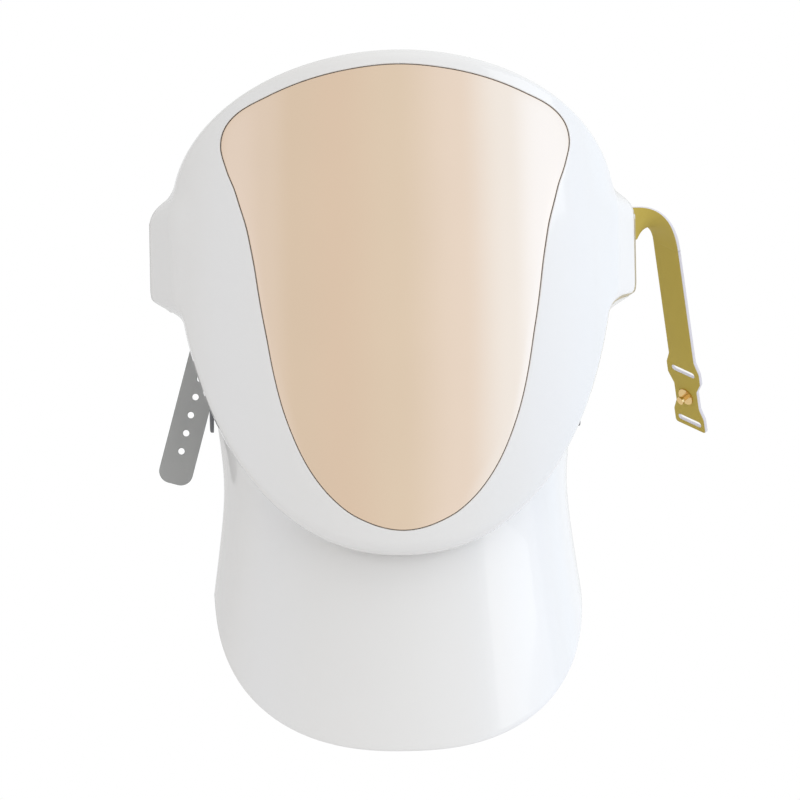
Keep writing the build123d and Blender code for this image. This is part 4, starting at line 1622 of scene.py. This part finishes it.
class Studio:
    """Camera, light, floor and backdrop."""

    azimuth = -1.95
    elevation = 0.25
    roll = 1.07
    distance = 14.0
    pixels_per_mm = 2.2
    picture_pixels = 800
    sensor = 36.0
    far_end = 100.0
    target = Vector((2.3, 0.0, -68.2)) * MM
    floor_half = 1.15
    floor_height = -0.3
    floor_tint = (0.85, 0.85, 0.86, 1)
    floor_rough = 0.8
    soft_axis = (0.76, -0.58, 0.28)
    soft_stops = ((0.0, (0.52, 0.52, 0.52)), (0.3, (0.68, 0.68, 0.68)), (0.6, (0.86, 0.86, 0.86)),
                  (1.0, (0.90, 0.92, 0.94)))
    shiny_axis = (1.0, 0.0, 0.0)
    shiny_stops = ((0.0, (0.98, 1.03, 1.12)), (0.04, (0.93, 0.96, 1.0)), (0.107, (0.884, 0.89, 0.875)),
                   (0.24, (0.90, 0.89, 0.875)), (0.5, (0.93, 0.955, 0.95)), (0.77, (1.03, 1.09, 1.18)),
                   (0.93, (1.13, 1.33, 1.6)), (0.99, (1.24, 1.53, 1.97)), (1.0, (1.3, 1.6, 2.05)))
    rear_axis = (-0.45, 0.9, 0.0)
    rear_stops = ((0.0, (0.90, 0.90, 0.90)), (0.8, (0.90, 0.90, 0.90)), (1.0, (0.70, 0.70, 0.70)))
    rear_start = 0.55
    rear_full = 0.95

    def camera(self) -> None:
        """Places the camera at the photograph's viewing angle."""
        data = bpy.data.cameras.new("camera")
        data.sensor_width = self.sensor
        data.lens = self.pixels_per_mm / MM * self.distance * self.sensor / self.picture_pixels
        data.clip_end = self.far_end
        camera = bpy.data.objects.new("camera", data)
        turn, tilt, roll = (math.radians(value) for value in (self.azimuth, self.elevation, self.roll))
        facing = (Matrix.Rotation(turn, 4, "Z") @ Matrix.Rotation(math.pi / 2 - tilt, 4, "X")
                  @ Matrix.Rotation(-roll, 4, "Z"))
        camera.matrix_world = Matrix.Translation(self.target + facing.col[2].xyz * self.distance) @ facing
        bpy.context.scene.collection.objects.link(camera)
        bpy.context.scene.camera = camera

    def leaning(self, tree: bpy.types.NodeTree, place: bpy.types.Node, axis: Point, low: float,
                high: float) -> bpy.types.Node:
        """How far the direction looked in leans along an axis.

        Args:
            tree: The world's nodes.
            place: The node that gives the direction.
            axis: The axis.
            low: The lean that gives 0, from -1 to 1.
            high: The lean that gives 1.

        Returns:
            The node that gives it.
        """
        lean, spread = tree.nodes.new("ShaderNodeVectorMath"), tree.nodes.new("ShaderNodeMapRange")
        lean.operation = "DOT_PRODUCT"
        lean.inputs[1].default_value = Vector(axis).normalized()
        spread.inputs["From Min"].default_value = low
        spread.inputs["From Max"].default_value = high
        wire(tree, (place, "Generated", lean, 0), (lean, "Value", spread, "Value"))
        return spread

    def graded(self, tree: bpy.types.NodeTree, place: bpy.types.Node, axis: Point,
               stops: Sequence[tuple[float, Point]]) -> bpy.types.Node:
        """A background whose light changes along an axis.

        Args:
            tree: The world's nodes.
            place: The node that gives the direction looked in.
            axis: The axis that it changes along.
            stops: Rows of place along the axis, from 0 to 1, and light.

        Returns:
            The background node.
        """
        top = max(max(light) for _, light in stops)
        ramp, room = tree.nodes.new("ShaderNodeValToRGB"), tree.nodes.new("ShaderNodeBackground")
        ramp.color_ramp.interpolation = "EASE"
        while len(ramp.color_ramp.elements) < len(stops):
            ramp.color_ramp.elements.new(0.5)
        for stop, (where, light) in zip(ramp.color_ramp.elements, stops):
            stop.position = where
            stop.color = (*(level / top for level in light), 1)
        room.inputs["Strength"].default_value = top
        spread = self.leaning(tree, place, axis, -1.0, 1.0)
        wire(tree, (spread, "Result", ramp, "Fac"), (ramp, "Color", room, "Color"))
        return room

    def world(self) -> None:
        """A white backdrop for the camera and a graded studio for light and reflections."""
        world = bpy.data.worlds.new("studio")
        bpy.context.scene.world = world
        world.use_nodes = True
        tree, nodes = world.node_tree, world.node_tree.nodes
        nodes.clear()
        out, path = nodes.new("ShaderNodeOutputWorld"), nodes.new("ShaderNodeLightPath")
        place, card = nodes.new("ShaderNodeTexCoord"), nodes.new("ShaderNodeBackground")
        card.inputs["Color"].default_value = (1, 1, 1, 1)
        card.inputs["Strength"].default_value = 1.0
        soft = self.graded(tree, place, self.soft_axis, self.soft_stops)
        shiny = self.graded(tree, place, self.shiny_axis, self.shiny_stops)
        rear = self.graded(tree, place, self.rear_axis, self.rear_stops)
        turn = self.leaning(tree, place, self.rear_axis, self.rear_start, self.rear_full)
        behind, bounce, view = (nodes.new("ShaderNodeMixShader") for _ in range(3))
        wire(tree, (turn, "Result", behind, 0), (shiny, "Background", behind, 1),
             (rear, "Background", behind, 2), (path, "Is Glossy Ray", bounce, 0),
             (soft, "Background", bounce, 1), (behind, "Shader", bounce, 2),
             (path, "Is Camera Ray", view, 0), (bounce, "Shader", view, 1),
             (card, "Background", view, 2), (view, "Shader", out, "Surface"))

    def floor(self) -> None:
        """A plain pale floor under the part."""
        mesh = bmesh.new()
        bmesh.ops.create_grid(mesh, x_segments=2, y_segments=2, size=self.floor_half)
        bmesh.ops.translate(mesh, verts=mesh.verts, vec=(0, 0, self.floor_height))
        data = bpy.data.meshes.new("floor")
        mesh.to_mesh(data)
        mesh.free()
        floor = bpy.data.objects.new("floor", data)
        bpy.context.scene.collection.objects.link(floor)
        pale = bpy.data.materials.new("floor_pale")
        pale.use_nodes = True
        shader = next(n for n in pale.node_tree.nodes if n.type == "BSDF_PRINCIPLED")
        shader.inputs["Base Color"].default_value = self.floor_tint
        shader.inputs["Roughness"].default_value = self.floor_rough
        data.materials.append(pale)
        floor.visible_glossy = False

    def build(self) -> None:
        """Sets up the whole studio."""
        self.camera()
        self.world()
        self.floor()
        for box in SOFT_BOXES:
            box.build()
        bpy.context.scene.view_settings.view_transform = "Standard"


CARRIED = {
    "strap_lug_left": Finishes.SHELL, "strap_lug_right": Finishes.SHELL, "lug_screws": Finishes.STEEL,
    "strap_pin_left": Finishes.STEEL, "strap_pin_right": Finishes.STEEL, "pivot_caps": Finishes.CAP,
    "neck_pivot_pins": Finishes.STEEL, "neck_bracket_left": Finishes.BRACKET,
    "neck_bracket_right": Finishes.BRACKET, "face_liner": Finishes.LINER, "neck_liner": Finishes.LINER,
    "face_led_board": Finishes.BOARD, "neck_led_board": Finishes.BOARD, "control_board": Finishes.BOARD,
    "face_leds": Finishes.LED, "neck_leds": Finishes.LED, "control_chips": Finishes.CHIP,
    "battery": Finishes.CELL, "liner_screws": Finishes.STEEL, "neck_screws": Finishes.STEEL,
    "power_button": Finishes.BUTTON, "power_switch": Finishes.CHIP, "charging_inlet": Finishes.STEEL,
    "strap_stud": Finishes.STUD, "stud_backing": Finishes.STUD,
}

PIECES: tuple[type[Piece], ...] = (
    FaceShell, MirrorVisor, NeckShell, LeftStrap, RightStrap, EyeCushionRight, EyeCushionLeft, NoseRest,
    ForeheadPad, ChinPad, EdgeSeal,
)


def dress(frame: dict) -> None:
    """Gives every carried-over CAD node its material.

    Args:
        frame: The loaded frame.
    """
    for name, finish in CARRIED.items():
        data = frame["nodes"][name].data
        data.materials.clear()
        data.materials.append(material(finish))


def main() -> None:
    """Builds the scene."""
    logging.basicConfig(level=logging.INFO, format="%(name)s: %(message)s")
    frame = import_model()
    dress(frame)
    for kind in PIECES:
        kind().make()
    for lenses in LENSES:
        lenses.make(frame)
    Studio().build()


if __name__ == "__main__":
    main()
